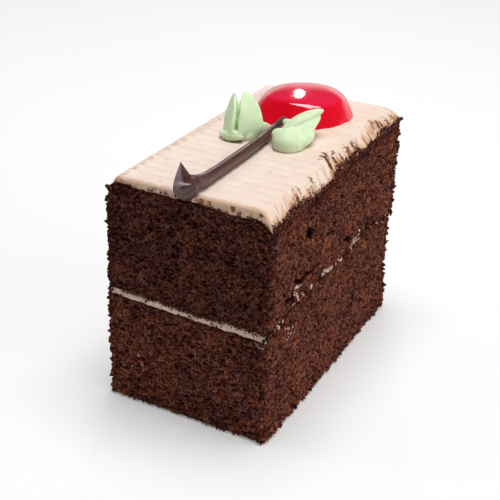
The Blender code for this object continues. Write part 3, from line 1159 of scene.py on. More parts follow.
@dataclass
class ClingingCrumbs:
    """Crumbs that the knife left on the cut faces."""

    form: SliceForm

    def heap(
        self, centres: Array, radii: Array, stretch: float, lean: Array, seed: int, **values: Array
    ) -> Shell:
        """Rough lumps, each turned at random and drawn out along its own direction.

        Each corner of a twenty-sided ball moves to a random share of the radius, and the ball is stretched
        along its direction: corner + direction * (corner . direction) * (stretch - 1).

        Args:
            centres: where the lumps sit.
            radii: their radii.
            stretch: how much longer than wide they are.
            lean: the direction of each one's length.
            seed: picks the random shapes.
            values: named numbers, one for each lump.

        Returns:
            All of them in one mesh.
        """
        draw = np.random.default_rng(seed)
        corners, faces = lump()
        turn, _ = np.linalg.qr(draw.normal(size=(len(centres), 3, 3)))
        turn *= np.sign(np.linalg.det(turn))[:, None, None]
        rough = corners[None] * draw.uniform(0.62, 1.25, (len(centres), len(corners), 1))
        rough = np.einsum("nij,nkj->nki", turn, rough)
        pull = stretch * draw.uniform(0.75, 1.25, (len(centres), 1, 1)) - 1
        rough = rough + lean[:, None, :] * np.einsum("nki,ni->nk", rough, lean)[..., None] * pull
        shell = Shell()
        spread = {name: np.repeat(value[:, None], len(corners), axis=1) for name, value in values.items()}
        places = centres[:, None, :] + rough * radii[:, None, None]
        places[..., 2] = np.maximum(places[..., 2], 0.0)
        numbers = shell.add(places, **spread)
        shell.faces.append(numbers[:, faces].reshape(-1, 3))
        return shell

    def cut_sites(self, kind: CrumbKind, draw: np.random.Generator) -> tuple[Array, Array]:
        """Places on the cut sides: spread evenly, or gathered at the upright corners and along the foot.

        None are left where strokes are torn out of the right side.

        Args:
            kind: the kind of crumb.
            draw: the source of random numbers.

        Returns:
            The places, in or on the crumb's own relief, and the outward direction at each.
        """
        form = self.form
        outline = Outline.around((form.half_width, form.half_length), SpongeLayer.corner, (0.1, 0.1))
        count = kind.count
        spot = draw.integers(0, len(outline.places), count)
        share = draw.uniform(0, 1, count)
        if kind is CrumbKind.EDGES:
            straight = np.abs(outline.outward).max(axis=1) > 0.9999
            at_corner = np.flatnonzero(~straight)
            upright = draw.uniform(0, 1, count) < 0.68
            spot = np.where(upright, at_corner[draw.integers(0, len(at_corner), count)], spot)
            share = np.where(upright, share, 0.02 * share)
        flat, outward = outline.places[spot], outline.outward[spot]
        x, y = flat.T
        z = 0.4 + (form.frosting_floor(x, y) - 0.5) * share
        lower = z < form.filling_floor(x, y) + 0.5 * form.filling_thickness
        places = np.stack([x, y, z], axis=-1)
        places += form.spread_foot(places)
        reliefs = [SpongeLayer(form, layer).crumb(places)[0] for layer in Layer]
        relief = np.clip(np.where(lower, *reliefs), -0.6, 0.25)
        places[:, 0] -= np.where(lower, form.undercut(x, z), 0.0)
        side = np.concatenate([outward, np.zeros((count, 1))], axis=-1)
        free = (outward[:, 0] < 0.9) | (covered(SpongeLayer.tears, y, z) < 0.25)
        return (places + side * (relief - kind.depth)[:, None])[free], side[free]

    def brow_sites(self, draw: np.random.Generator) -> tuple[Array, Array]:
        """Strews the jagged line where the right side's crumb reaches over the shoulder.

        Args:
            draw: the source of random numbers.

        Returns:
            The places, and the outward direction at each.
        """
        form, count = self.form, CrumbKind.BROW.count
        y = form.half_length * draw.uniform(-1, 1, count)
        x = form.half_width + 0.15 - 1.5 * draw.uniform(0, 1, count) ** 2.2
        top, _ = CombedFrosting(form).top(x, y)
        line = form.brow(y) + 0.35 * draw.normal(size=count)
        z = np.minimum(top + 0.05, line)
        outward = np.stack([0.8 + 0 * x, 0 * x, 0.6 + 0 * x], axis=-1)
        keep = (z > line - 1.6) & (top < line + 0.9 * draw.uniform(0, 1, count))
        return np.stack([x, y, z], axis=-1)[keep], outward[keep]

    def fringe_sites(self, draw: np.random.Generator) -> tuple[Array, Array]:
        """Strews the lower margin of the frosting's cut front, and both margins of the filling's.

        Args:
            draw: the source of random numbers.

        Returns:
            The places, and the outward direction at each.
        """
        form, count = self.form, CrumbKind.FRINGE.count
        x = draw.uniform(-20.6, form.half_width - 1.5, count)
        z = np.interp(x, *zip(*CombedFrosting.front_fringe)) - 0.6 + 1.7 * draw.uniform(0, 1, count) ** 2.2
        front = np.full(count, -form.half_length)
        upper, lower = form.filling_ceiling(x, front) + 0.3, form.filling_floor(x, front) - 0.1
        margin = np.where(draw.uniform(0, 1, count) < 0.6, upper, lower)
        z = np.where(draw.uniform(0, 1, count) < 0.6, margin + 0.38 * draw.normal(size=count), z)
        y = -form.half_length - 0.22 * draw.uniform(0, 1, count)
        return np.stack([x, y, z], axis=-1), np.stack([0 * x, -1 + 0 * x, 0 * x], axis=-1)

    def dust_sites(self, draw: np.random.Generator) -> tuple[Array, Array]:
        """Strews the shoulder: thinly away from the brow, and thickly where the knife dragged crumb.

        Args:
            draw: the source of random numbers.

        Returns:
            The places, and the outward direction at each.
        """
        form, count = self.form, CrumbKind.DUST.count
        frosting = CombedFrosting(form)
        marks = frosting.dragged
        reach = np.array([math.dist(mark.start, mark.end) + 0.6 for mark in marks])
        chosen = draw.choice(len(marks), count, p=reach / reach.sum())
        start, end = (np.array([getattr(mark, name) for mark in marks])[chosen] for name in ("start", "end"))
        width = np.array([mark.widths[1] for mark in marks])[chosen]
        share = draw.uniform(-0.1, 1.4, count)[:, None]
        strewn = draw.normal(size=(count, 2)) * (0.25 + 0.9 * width)[:, None]
        x, y = (start + (end - start) * share + strewn).T
        free = draw.uniform(0, 1, count) < 0.86
        x = np.where(free, form.half_width - 0.2 - draw.exponential(0.7, count), x)
        y = np.where(free, form.half_length * draw.uniform(-0.995, 0.995, count), y)
        x = np.minimum(x, form.half_width - 0.1)
        top, _ = frosting.top(x, y)
        above = top - form.brow(y)
        patch = 0.5 + 0.5 * ripple(np.stack([0 * x, y, 0 * x], axis=-1), 2.6, 433, 2)
        along = y / form.half_length
        wide = 1.9 - 1.5 * eased((along - 0.20) / 0.4) + 1.6 * eased((-along - 0.1) / 0.5)
        keep = (above > -0.3) & ((above < wide * patch * draw.uniform(0, 1, count)) | ~free)
        up = np.stack([0.5 + 0 * x, 0 * x, 0.85 + 0 * x], axis=-1)
        return np.stack([x, y, top], axis=-1)[keep], up[keep]

    def build(self, finish: Material) -> None:
        """Scatters each kind of crumb over its places.

        Args:
            finish: the crumb's material.
        """
        for order, kind in enumerate(CrumbKind):
            small, large = kind.radii
            draw = np.random.default_rng(900 + order)
            sites = {CrumbKind.BROW: self.brow_sites, CrumbKind.FRINGE: self.fringe_sites,
                     CrumbKind.DUST: self.dust_sites}.get(kind, partial(self.cut_sites, kind))
            places, side = sites(draw)
            count = len(places)
            radii = small * (large / small) ** draw.uniform(0, 1, count)
            places = places + side * (0.2 * radii)[:, None]
            lean = side * draw.uniform(0.2, 1.0, (count, 1)) + draw.normal(size=(count, 3)) * 0.45
            lean /= np.linalg.norm(lean, axis=1)[:, None]
            places[:, 2] = np.maximum(places[:, 2], radii * 1.3)
            # Loose crumbs take the same painted shade and patches as the cut where they sit, less on the
            # fringe and the dust.
            height, damp = draw.uniform(0.45, 1.0, count), 0.8 * self.form.damp(places)
            if kind in (CrumbKind.FRINGE, CrumbKind.DUST):
                damp = 0.35 * damp
            shell = self.heap(places, radii, kind.stretch, lean, 950 + order, height=height, damp=damp)
            place_piece(kind.piece, shell.mesh(kind.piece), finish)


@dataclass
class CreamFlecks:
    """Cream that the knife carried out of the seam on to the crumb."""

    form: SliceForm
    spacing: float = 0.28
    right: tuple[Stroke, ...] = strokes(
        (-25.2, 37.8, -28.2, 38.5, 0.2, 0.28), (-28.9, 37.5, -27.4, 35.8, 0.26, 0.3),
        (-27.0, 35.2, -26.1, 33.8, 0.28, 0.2), (-18.5, 34.7, -18.6, 33.7, 0.34, 0.28),
        (-22.2, 34.9, -22.0, 34.7, 0.24, 0.24), (-24.3, 35.1, -22.5, 33.7, 0.26, 0.22),
        (-11.3, 34.4, -10.2, 34.9, 0.26, 0.24), (-10.2, 34.9, -6.4, 33.7, 0.22, 0.28),
        (-6.4, 33.7, -3.4, 33.6, 0.28, 0.22), (-10.8, 35.5, -7.8, 34.9, 0.18, 0.2),
        (-7.0, 34.7, -4.1, 34.0, 0.2, 0.16), (-1.3, 33.5, -0.9, 33.5, 0.24, 0.24),
        (0.3, 33.8, 3.5, 33.0, 0.24, 0.3), (9.3, 33.2, 9.7, 34.4, 0.22, 0.26),
        (10.4, 34.8, 12.2, 35.0, 0.26, 0.22), (12.5, 35.7, 12.9, 36.0, 0.22, 0.24),
        (15.2, 37.4, 14.2, 35.6, 0.34, 0.3), (13.9, 34.5, 18.3, 33.3, 0.26, 0.34),
        (11.4, 36.2, 8.8, 34.4, 0.24, 0.3), (15.0, 33.8, 15.4, 33.8, 0.26, 0.22),
        (19.5, 33.4, 19.7, 32.7, 0.22, 0.24), (24.3, 34.3, 25.4, 33.9, 0.16, 0.2),
        (30.6, 32.8, 32.6, 32.1, 0.16, 0.22), (37.0, 30.4, 37.9, 30.1, 0.18, 0.16),
        (41.4, 28.9, 42.4, 28.5, 0.2, 0.22), (-35.4, 32.5, -33.9, 30.7, 0.22, 0.26),
        (-38.5, 32.5, -36.2, 30.3, 0.22, 0.3), (-41.7, 31.8, -38.9, 31.4, 0.3, 0.22),
        (-29.8, 27.1, -25.9, 25.6, 0.15, 0.17), (-29.7, 25.4, -25.7, 23.9, 0.13, 0.16),
        (-30.0, 23.7, -28.4, 23.9, 0.14, 0.14), (-31.6, 27.6, -31.3, 27.5, 0.18, 0.18),
        (-24.2, 16.6, -24.0, 16.5, 0.16, 0.16), (-40.0, 24.0, -39.9, 23.6, 0.16, 0.14),
        (-36.4, 16.3, -36.2, 16.0, 0.14, 0.14), (-7.5, 61.1, -7.3, 60.9, 0.26, 0.26),
        (-21.2, 61.6, -21.0, 61.5, 0.24, 0.24), (8.3, 62.6, 8.5, 62.5, 0.24, 0.24),
        (-12.4, 61.1, -12.3, 61.0, 0.22, 0.22), (-23.5, 61.4, -23.3, 61.3, 0.2, 0.2),
        (-1.9, 62.1, -1.7, 62.0, 0.22, 0.22),
    )
    front: tuple[Stroke, ...] = strokes(
        (-14.3, 14.8, -14.1, 14.6, 0.16, 0.16), (-16.5, 10.6, -16.3, 10.4, 0.16, 0.14),
        (-18.8, 9.9, -18.6, 9.7, 0.14, 0.14), (-13.2, 11.9, -13.1, 11.8, 0.12, 0.12),
        (21.0, 28.2, 23.0, 27.6, 0.3, 0.26),
    )

    def sites(self, marks: Sequence[Stroke], seed: int) -> tuple[Array, Array, Array]:
        """Places strewn along strokes.

        Args:
            marks: where the cream lies.
            seed: picks the random places.

        Returns:
            Both coordinates on the flat side, and the radius there.
        """
        draw = np.random.default_rng(seed)
        found = []
        for mark in marks:
            start, end = np.array(mark.start), np.array(mark.end)
            count = max(4, round(float(np.linalg.norm(end - start)) / self.spacing) * 3)
            share = draw.uniform(0, 1, count)
            width = mark.widths[0] + (mark.widths[1] - mark.widths[0]) * share
            strewn = draw.normal(size=(count, 2)) * 0.55 * width[:, None]
            spot = start + (end - start) * share[:, None] + strewn
            found.append(np.concatenate([spot, (width * draw.uniform(0.55, 1.25, count))[:, None]], axis=1))
        return tuple(np.concatenate(found).T)

    def build(self, finish: Material) -> None:
        """Small smears, each a run of flat lumps, on the right side and the front.

        Args:
            finish: the frosting's material.
        """
        form = self.form
        upper, lower = (SpongeLayer(form, layer) for layer in (Layer.UPPER, Layer.LOWER))
        places, radii, sides = [], [], []
        for marks, side in ((self.right, (1.0, 0.0, 0.0)), (self.front, (0.0, -1.0, 0.0))):
            along, z, radius = self.sites(marks, 601)
            x = np.full_like(along, form.half_width) if side[0] else along
            y = along if side[0] else np.full_like(along, -form.half_length)
            spot = np.stack([x, y, z], axis=-1)
            spot += form.spread_foot(spot)
            below = z < form.filling_floor(x, y) + 0.5 * form.filling_thickness
            relief = np.clip(np.where(below, lower.crumb(spot)[0], upper.crumb(spot)[0]), -0.35, 0.3)
            spot[:, 0] -= np.where(below, form.undercut(x, z), 0.0)
            places.append(spot + np.array(side) * relief[:, None])
            radii.append(radius)
            sides.append(np.broadcast_to(side, spot.shape))
        centres, size, facing = np.concatenate(places), np.concatenate(radii), np.concatenate(sides)
        draw = np.random.default_rng(612)
        tan, crumb = draw.uniform(0.0, 0.7, len(size)), 0.45 * draw.uniform(0, 1, len(size)) ** 2
        shell = ClingingCrumbs(form).heap(centres, 1.4 * size, 0.5, facing, 611, tan=tan, crumb=crumb)
        place_piece("cream_flecks", shell.mesh("cream_flecks"), finish)


@dataclass
class FillingSpread:
    """The cream between the layers, squeezed out unevenly at the cut."""

    form: SliceForm
    steps: Pair = (0.26, 0.45)
    rows: int = 21
    corner: float = 1.2
    inset: float = 2.2
    crest: float = 0.16
    fall: float = 1.5

    def build(self, finish: Material) -> None:
        """A band that swells out of the seam by a fifth power, ragged above and below, and torn on the right.

        Args:
            finish: the filling's material.
        """
        form = self.form
        outline = Outline.around((form.half_width, form.half_length), self.corner, self.steps)
        turn = np.linspace(-1, 1, self.rows)[:, None]
        inner = (outline.places * (1 - self.inset / np.array([form.half_width, form.half_length]))).T
        under, over = form.filling_floor(*inner), form.filling_ceiling(*inner)
        spot = np.concatenate([outline.places, np.zeros((len(outline.places), 1))], axis=1)
        under = under - 0.15 + 0.45 * ripple(spot, 2.0, 311, 3)
        over = over + 0.25 + 0.75 * ripple(spot, 2.6, 312, 3)
        share = (turn + 1) / 2
        z = under * (1 - share) + over * share
        x, y = (np.broadcast_to(column, z.shape) for column in outline.places.T)
        places = np.stack([x, y, z], axis=-1)
        right = np.maximum(0.0, outline.outward[None, :, 0]) ** 2
        grain = 0.16 * ripple(places, 1.1, 313, 3) + 0.22 * ripple(places, 4.0, 320)
        torn = form.overhang + 1.2 + 1.6 * eased((y / form.half_length - 0.15) / 0.2)
        out = self.crest - self.fall * np.abs(turn) ** 5 + grain - right * torn
        places[..., :2] += outline.outward[None] * out[..., None]
        shell = Shell()
        shell.sleeve(shell.add(places), middles(places))
        mesh = shell.mesh("filling_spread")
        place_piece("filling_spread", mesh, finish, ["cream_filling"])


@dataclass
class CombedFrosting:
    """The frosting, combed across the slice and cut with it."""

    form: SliceForm
    pitch: float = 4.0
    ridge: float = 0.14
    line_height: float = 0.040
    edge_drop: float = 0.9
    end_drop: float = 0.55
    step: float = 0.25
    wall_rows: int = 12
    corner_blur: int = 9
    drag: float = math.radians(-38)
    lip_inset: float = 4.2
    lip_slant: float = 0.038
    lip_reach: float = 1.1
    lip_height: float = 0.60
    lip_shade: float = 22.0
    front_fringe: Points = (
        (-21.0, 63.5), (-14.0, 62.5), (-9.0, 62.6), (-3.4, 62.7), (3.3, 62.7), (7.5, 62.4), (13.4, 61.5),
        (16.0, 61.8), (19.2, 62.4), (20.6, 61.5), (22.3, 60.1), (24.0, 59.6),
    )
    dragged: tuple[Stroke, ...] = strokes(
        (18.4, -3.7, 22.0, -5.6, 0.1, 0.42), (18.1, -1.2, 19.4, -3.1, 0.14, 0.28, 0.85),
        (20.8, -1.7, 22.7, -2.2, 0.25, 0.46), (19.3, 1.1, 19.9, 0.3, 0.15, 0.2, 0.7),
        (21.2, 2.1, 22.2, 1.6, 0.18, 0.34, 0.9), (20.7, 7.7, 22.0, 6.2, 0.12, 0.3, 0.85),
        (20.3, 11.4, 21.4, 10.3, 0.1, 0.26, 0.85), (22.1, 10.6, 24.0, 9.7, 0.22, 0.5),
        (21.1, -16.8, 21.7, -17.2, 0.18, 0.26, 0.7), (21.2, -24.3, 21.9, -24.6, 0.14, 0.3, 0.6),
        (22.2, -21.0, 22.7, -21.3, 0.18, 0.28, 0.6), (22.8, -19.1, 23.3, -19.4, 0.18, 0.28, 0.6),
        (22.2, -27.3, 23.0, -27.9, 0.16, 0.34, 0.5), (19.2, 28.7, 21.1, 26.1, 0.1, 0.32, 0.9),
        (20.6, 30.4, 22.0, 28.6, 0.12, 0.32, 0.9), (21.6, 30.9, 22.6, 30.3, 0.14, 0.3, 0.8),
        (22.1, 34.6, 23.2, 33.5, 0.14, 0.34, 0.85), (21.8, 39.1, 22.4, 38.5, 0.14, 0.26, 0.7),
        (22.6, 39.8, 23.2, 38.9, 0.16, 0.3, 0.85),
    )
    tan_smears: tuple[Stroke, ...] = strokes(
        (20.5, 23.9, 23.1, 20.5, 0.5, 1.0, 0.9), (20.0, 26.5, 22.4, 24.0, 0.4, 0.8, 0.8),
        (19.6, 30.0, 23.0, 27.0, 0.5, 0.9, 0.7), (21.5, 8.5, 22.8, 7.0, 0.5, 0.9, 0.8),
        (20.0, 9.8, 21.6, 8.2, 0.4, 0.7, 0.7), (19.0, -2.6, 21.6, -4.4, 0.5, 0.9, 0.7),
        (20.6, -8.6, 22.6, -10.2, 0.6, 1.0, 0.7), (20.8, -12.5, 22.4, -13.8, 0.5, 0.9, 0.6),
        (20.8, -26.8, 22.8, -28.6, 0.6, 1.2, 0.8), (20.6, -31.5, 22.6, -33.4, 0.7, 1.1, 0.6),
    )
    specks: Points = (
        (-19.1, -17.7), (-15.4, -27.0), (-9.3, -40.3), (-10.9, -16.0), (11.7, -20.6), (16.1, 26.3),
        (-18.9, -28.4), (-18.8, -36.3),
    )
    caramel: tuple[Stroke, ...] = strokes(
        (-9.1, 64.9, -9.2, 64.3, 0.8, 0.7, 0.8), (3.6, 64.9, 4.4, 64.1, 0.9, 0.8),
        (6.1, 65.0, 6.2, 64.0, 0.7, 0.8), (10.4, 64.6, 10.4, 64.4, 0.4, 0.4, 0.7),
        (12.4, 64.3, 12.7, 63.5, 0.7, 0.9), (16.5, 65.0, 16.4, 64.6, 0.6, 0.7, 0.9),
        (20.4, 64.1, 20.2, 63.8, 0.6, 0.8), (14.4, 63.4, 14.7, 63.0, 0.35, 0.4, 0.7),
        (-13.4, 64.9, -13.5, 64.4, 0.4, 0.4, 0.5),
    )
    pits: tuple[Stroke, ...] = strokes(
        (12.5, 64.1, 12.7, 63.6, 0.75, 0.85), (16.5, 64.9, 16.4, 64.7, 0.7, 0.62, 0.9),
        (20.3, 64.0, 20.2, 63.9, 0.72, 0.72), (14.6, 63.2, 14.7, 63.1, 0.55, 0.5, 0.8),
        (3.9, 64.5, 4.0, 64.3, 0.4, 0.4, 0.8), (6.2, 64.2, 6.3, 63.9, 0.34, 0.34, 0.7),
        (9.0, 62.9, 9.4, 62.7, 0.4, 0.4, 0.7), (-11.0, 63.6, -10.6, 63.4, 0.4, 0.45, 0.6),
        (-15.4, 63.4, -15.2, 63.3, 0.35, 0.35, 0.6), (-6.2, 63.9, -6.0, 63.6, 0.35, 0.45, 0.6),
    )

    def top(self, x: Array, y: Array) -> tuple[Array, Array]:
        """The combed surface.

        The height is a rounded ridge for each tooth, 0.5 - 0.5 cos(phase), with fine lines at two and five
        times its pace. Both fade out towards the long edges, and short lips stand at the ridges' left ends.

        Args:
            x: places across the slice.
            y: places along it.

        Returns:
            The heights, and how far the fine lines stand out there, from -1 to 1, with painted shade added
            between the lips.
        """
        form = self.form
        flat = np.stack([x, y, 0 * x], axis=-1)
        wander = 0.35 * ripple(flat, 9.0, 410)
        phase = 2 * np.pi * (y + form.half_length + wander) / self.pitch
        lines = 0.5 * np.cos(2 * phase + 0.6) + 0.3 * np.cos(5 * phase) + 0.8 * ripple(
            flat * np.array([0.12, 1.0, 1.0]), 0.75, 420, 2)
        fade = 1 - eased(form.shoulder_reach(x, y) * 1.4)
        relief = (self.ridge * (0.5 - 0.5 * np.cos(phase)) + self.line_height * lines) * fade
        edge = np.maximum(0.0, 1 - (form.half_width - form.setback + x) / 2.2)
        inset = self.lip_inset + self.lip_slant * (y + form.half_length - 6.0)
        ends = eased(1.5 - np.abs(x + form.half_width - inset) / self.lip_reach)
        lip = self.lip_height * ends * eased(1.6 * np.cos(phase) - 0.2)
        lip *= 0.7 + 0.5 * ripple(flat, 3.0, 425)
        # Painted shade between the lips, given as a large value that later turns into tan.
        lip_gap_shade = self.lip_shade * ends * eased(-1.6 * np.cos(phase) + 0.1)
        lip_gap_shade *= 0.7 + 0.5 * ripple(flat, 2.0, 427)
        height = form.top_level + relief + lip - form.shoulder(x, y) - self.edge_drop * edge**2
        return height, lines * fade + lip_gap_shade

    def crumb_cover(self, x: Array, y: Array, z: Array) -> Array:
        """How far crumb from the cut side has covered the shoulder: all of it under an uneven line."""
        return eased((self.form.brow(y) - z) / 0.25 + 0.5) * (self.form.shoulder_reach(x, y) > 0.05)

    def dressed_top(self) -> tuple[Array, dict[str, Array]]:
        """The top as a grid, with its smears of tan and crumb.

        Returns:
            The places, and for each of them the share of tan, of crumb and of caramel.
        """
        form = self.form
        left, right = -form.half_width + form.setback, form.half_width - 0.1
        xs = np.linspace(left, right, round((right - left) / self.step))
        ys = np.linspace(-form.half_length, form.half_length, round(2 * form.half_length / self.step))
        x, y = np.meshgrid(xs, ys, indexing="xy")
        z, lines = self.top(x, y)
        along = x * math.cos(self.drag) + y * math.sin(self.drag)
        across = y * math.cos(self.drag) - x * math.sin(self.drag)
        pull = ripple(np.stack([0.40 * along, across, 0 * x], axis=-1), 0.7, 430, 3)
        patch = 0.5 + 0.5 * ripple(np.stack([0 * x, y, 0 * x], axis=-1), 6.0, 431)
        reach = form.shoulder_reach(x, y)
        zone = eased(reach * 1.5) * eased(patch * 1.6)
        smears = covered(self.tan_smears, x, y) * (0.7 + 0.45 * pull)
        tan = np.maximum(eased(pull * 1.3 + 0.2) * zone * 0.9, smears)
        near_brow = eased(1.35 - (z - form.brow(y)) / 2.0 + 0.9 * pull) * (reach > 0.05)
        tan = np.maximum(tan, 0.85 * near_brow)
        z += 0.07 * pull * eased(reach * 1.6)
        ends = np.maximum(0.0, 1 - (form.half_length - np.abs(y)) / 1.3)
        z -= self.end_drop * ends**2
        tan = np.maximum(tan, 0.7 * eased(ends * 1.6 - 0.1 + 0.6 * pull))
        wide = [
            replace(mark, widths=(mark.widths[0] + 0.3, 2.1 * mark.widths[1] + 0.15)) for mark in self.dragged
        ]
        smudge = covered(wide, x, y) * (0.85 + 0.5 * pull)
        marks = 0.82 * eased(1.7 * smudge - 0.62)
        tan = np.maximum(tan, eased(1.8 * smudge))
        dots = covered([Stroke(spot, spot, (0.32, 0.32), 0.55) for spot in self.specks], x, y)
        few = eased((pull - 0.34) * 5) * eased(reach * 2 - 0.6) * eased(patch * 2 - 0.5)
        dusted = 0.5 * eased(0.75 - (z - form.brow(y)) / 1.6 + 1.3 * pull) * (reach > 0.05)
        dusted *= 1 - 0.9 * eased((y / form.half_length - 0.20) / 0.4)
        crumb = np.maximum.reduce([marks, dots, 0.8 * few, dusted, self.crumb_cover(x, y, z)])
        z += 0.12 * marks - 0.10 * few
        # The second value of top adds tan along the fine lines and paints shade between the lips.
        tan = np.clip(tan + 0.035 * lines + 0.08 + 0.14 * eased(x / form.half_width), 0, 1)
        return np.stack([x, y, z], axis=-1), {"tan": tan, "crumb": crumb, "caramel": 0 * x}

    def wall(self, rim: Array, outward: Array) -> tuple[Array, dict[str, Array]]:
        """The cut side of the frosting under its rim.

        Args:
            rim: the places of the top's rim, in order.
            outward: the direction out of the side at each.

        Returns:
            The places by row and along the rim, and the shares of tan, crumb and caramel.
        """
        form = self.form
        x, y, high = rim.T
        spot = np.stack([x, y, 0 * x], axis=-1)
        ragged = 0.40 * ripple(spot, 1.5, 470, 3)
        front = outward[:, 1] < -0.5
        fringe = np.interp(x, *zip(*self.front_fringe))
        low = np.where(front, fringe, form.frosting_floor(x, y) - 0.1) + ragged - 0.2
        low = np.minimum(low, high - 0.15)
        share = np.linspace(0, 1, self.wall_rows + 1)[1:, None]
        z = high * (1 - share) + low * share
        places = np.stack([np.broadcast_to(x, z.shape), np.broadcast_to(y, z.shape), z], axis=-1)
        grain = ripple(places * np.array([1.0, 1.0, 0.6]), 1.0, 440, 3)
        bubble, _, number = scattered_dots(places, 3.1, 450)
        bubbles = eased((0.05 + 0.13 * number**2 - bubble) / 0.05)
        there = front.astype(float)
        pits = np.maximum(covered(self.pits, x, z) * there, 0.8 * bubbles * (1 - there))
        halo = eased((0.12 + 0.16 * number**2 - bubble) / 0.1)
        caramel = np.maximum(covered(self.caramel, x, z) * there, halo)
        out = 0.14 * grain - 0.15 * pits - 0.45 * share**3 + 0.25 * eased(share * 1.5) * eased(2 - 2 * share)
        out = np.where(outward[:, 0] > 0.3, -0.5 * share, out)
        places[..., :2] += outward[None] * out[..., None]
        side = np.abs(outward[:, 0]) > 0.5
        stain = ripple(places * np.array([1.0, 1.0, 0.5]), 0.9, 475, 2) + 0.5 * ripple(places, 4.0, 476)
        caramel = np.maximum(caramel, 0.65 * eased(2.0 * stain - 0.50 + 0.9 * share) * there)
        tan = np.clip(np.where(side, 0.45, 0.78) + 0.5 * grain, 0, 1) * eased(share * 6)
        margin = eased((share - 0.66) * 2.2 + 0.7 * grain + 1.1 * stain)
        crumb = np.maximum(0.66 * eased(pits * 1.5 - 0.2), margin)
        crumb = np.where(side & (x > 0), np.maximum(crumb, self.crumb_cover(x + 0 * z, y + 0 * z, z)), crumb)
        return places, {"tan": tan, "crumb": crumb, "caramel": caramel * (1 - pits)}

    def build(self, finish: Material) -> None:
        """The combed top with its cut walls and a plain underside, as one closed skin.

        Args:
            finish: the frosting's material.
        """
        top, values = self.dressed_top()
        shell = Shell()
        numbers = shell.add(top, **values)
        shell.grid(numbers)
        loop = np.concatenate([numbers[0, :-1], numbers[:-1, -1], numbers[-1, :0:-1], numbers[:0:-1, 0]])
        rows, columns = numbers.shape
        outward = np.repeat([[0.0, -1.0], [1.0, 0.0], [0.0, 1.0], [-1.0, 0.0]],
                            [columns - 1, rows - 1, columns - 1, rows - 1], axis=0)
        blur, margin = np.hanning(self.corner_blur), self.corner_blur // 2
        blur = blur / blur.sum()
        wrapped = np.concatenate([outward[-margin:], outward, outward[:margin]])
        outward = np.stack([np.convolve(column, blur, "valid") for column in wrapped.T], axis=-1)
        places, values = self.wall(top.reshape(-1, 3)[loop], outward)
        wall = shell.add(places, **values)
        wall = np.concatenate([loop[None], wall])
        shell.grid(wall[::-1], around=True)
        plain = {name: np.zeros(len(loop)) for name in values}
        inner = places[-1] * np.array([0.9, 0.94, 1.0])
        ring = shell.add(inner, **plain)
        shell.grid(np.stack([ring, wall[-1]]), around=True)
        hub = shell.add(np.array([[0.0, 0.0, inner[:, 2].mean()]]), **{name: np.zeros(1) for name in values})
        shell.fan(ring[::-1], int(hub[0]))
        place_piece("frosting_combed", shell.mesh("frosting_combed"), finish, ["frosting"])


@dataclass
class JellyDome:
    """The puddle of jelly that set on the frosting: a flat crown, a tight shoulder and a steep side.

    Its slopes are in degrees at shares of the way out, and differ on the sides near to and far from the
    front. On the near side the shoulder runs nearly straight, square to flat_facing.
    """

    near_slopes: Points = (
        (0.0, 0.0), (0.50, 9.5), (0.565, 15.0), (0.645, 54.0), (1.0, 60.0),
    )
    side_slopes: Points = (
        (0.0, 0.0), (0.45, 6.0), (0.62, 14.0), (0.8, 30.0), (0.9, 50.0), (1.0, 76.0),
    )
    far_slopes: Points = (
        (0.0, 0.0), (0.5, 4.0), (0.6, 11.0), (0.84, 14.0), (0.92, 52.0), (1.0, 80.0),
    )
    near: float = math.radians(-64)
    flat: float = 0.2
    flat_facing: float = math.radians(-86)
    around: int = 240
    rings: int = 120
    sunk: float = 0.6
    sway: float = 0.012

    def build(self, finish: Material) -> None:
        """A dome over an uneven oval, whose height is what is left of its slopes' sum from the middle out.

        Args:
            finish: the jelly's material.
        """
        low, high = node_box("jelly")
        centre, half = (low + high) / 2, (high - low) / 2
        angle = np.linspace(0, 2 * np.pi, self.around, endpoint=False)[None]
        out = np.sin(np.linspace(0, 1, self.rings + 1)[:, None] * np.pi / 2)
        turn = np.cos(angle - self.near)
        straight = out * (1 - self.flat * np.tanh(4 - 4 * np.cos(angle - self.flat_facing)))
        facing, behind = eased(0.85 * turn + 0.35), eased(-1.3 * turn - 0.25)
        near, side, far = (
            np.interp(way, *zip(*slopes))
            for way, slopes in ((straight, self.near_slopes), (out, self.side_slopes), (out, self.far_slopes))
        )
        slope = np.tan(np.radians(near * facing + far * behind + side * (1 - facing - behind)))
        drops = (slope[1:] + slope[:-1]) / 2 * np.diff(out, axis=0)
        fall = np.concatenate([0 * slope[:1], np.cumsum(drops, axis=0)])
        z = high[2] - (high[2] - low[2] + self.sunk) * fall / fall[-1]
        rim = self.sway * np.sin(5 * angle + 1) + 0.005 * np.sin(9 * angle)
        rim = rim + 0.005 * np.sin(17 * angle + 2) * out**16
        reach = 1 + (rim - self.sway) * out**4
        x = centre[0] + half[0] * out * reach * np.cos(angle)
        y = centre[1] + half[1] * out * reach * np.sin(angle)
        places = np.stack([x, y, z], axis=-1)
        # Painted reflection: 1 over the top and far side, falling to 0 down the steep near side.
        crown = 1 - facing * eased((straight - 0.555) / 0.09)
        shell = Shell()
        numbers = shell.add(places[1:], crown=crown[1:])
        shell.grid(numbers[::-1], around=True)
        peak = shell.add(places[0, :1], crown=np.ones(1))
        shell.fan(numbers[0], int(peak[0]))
        base = shell.add(np.array([[centre[0], centre[1], low[2] - self.sunk]]), crown=np.zeros(1))
        shell.fan(numbers[-1][::-1], int(base[0]))
        place_piece("jelly_dome", shell.mesh("jelly_dome"), finish, ["jelly"])


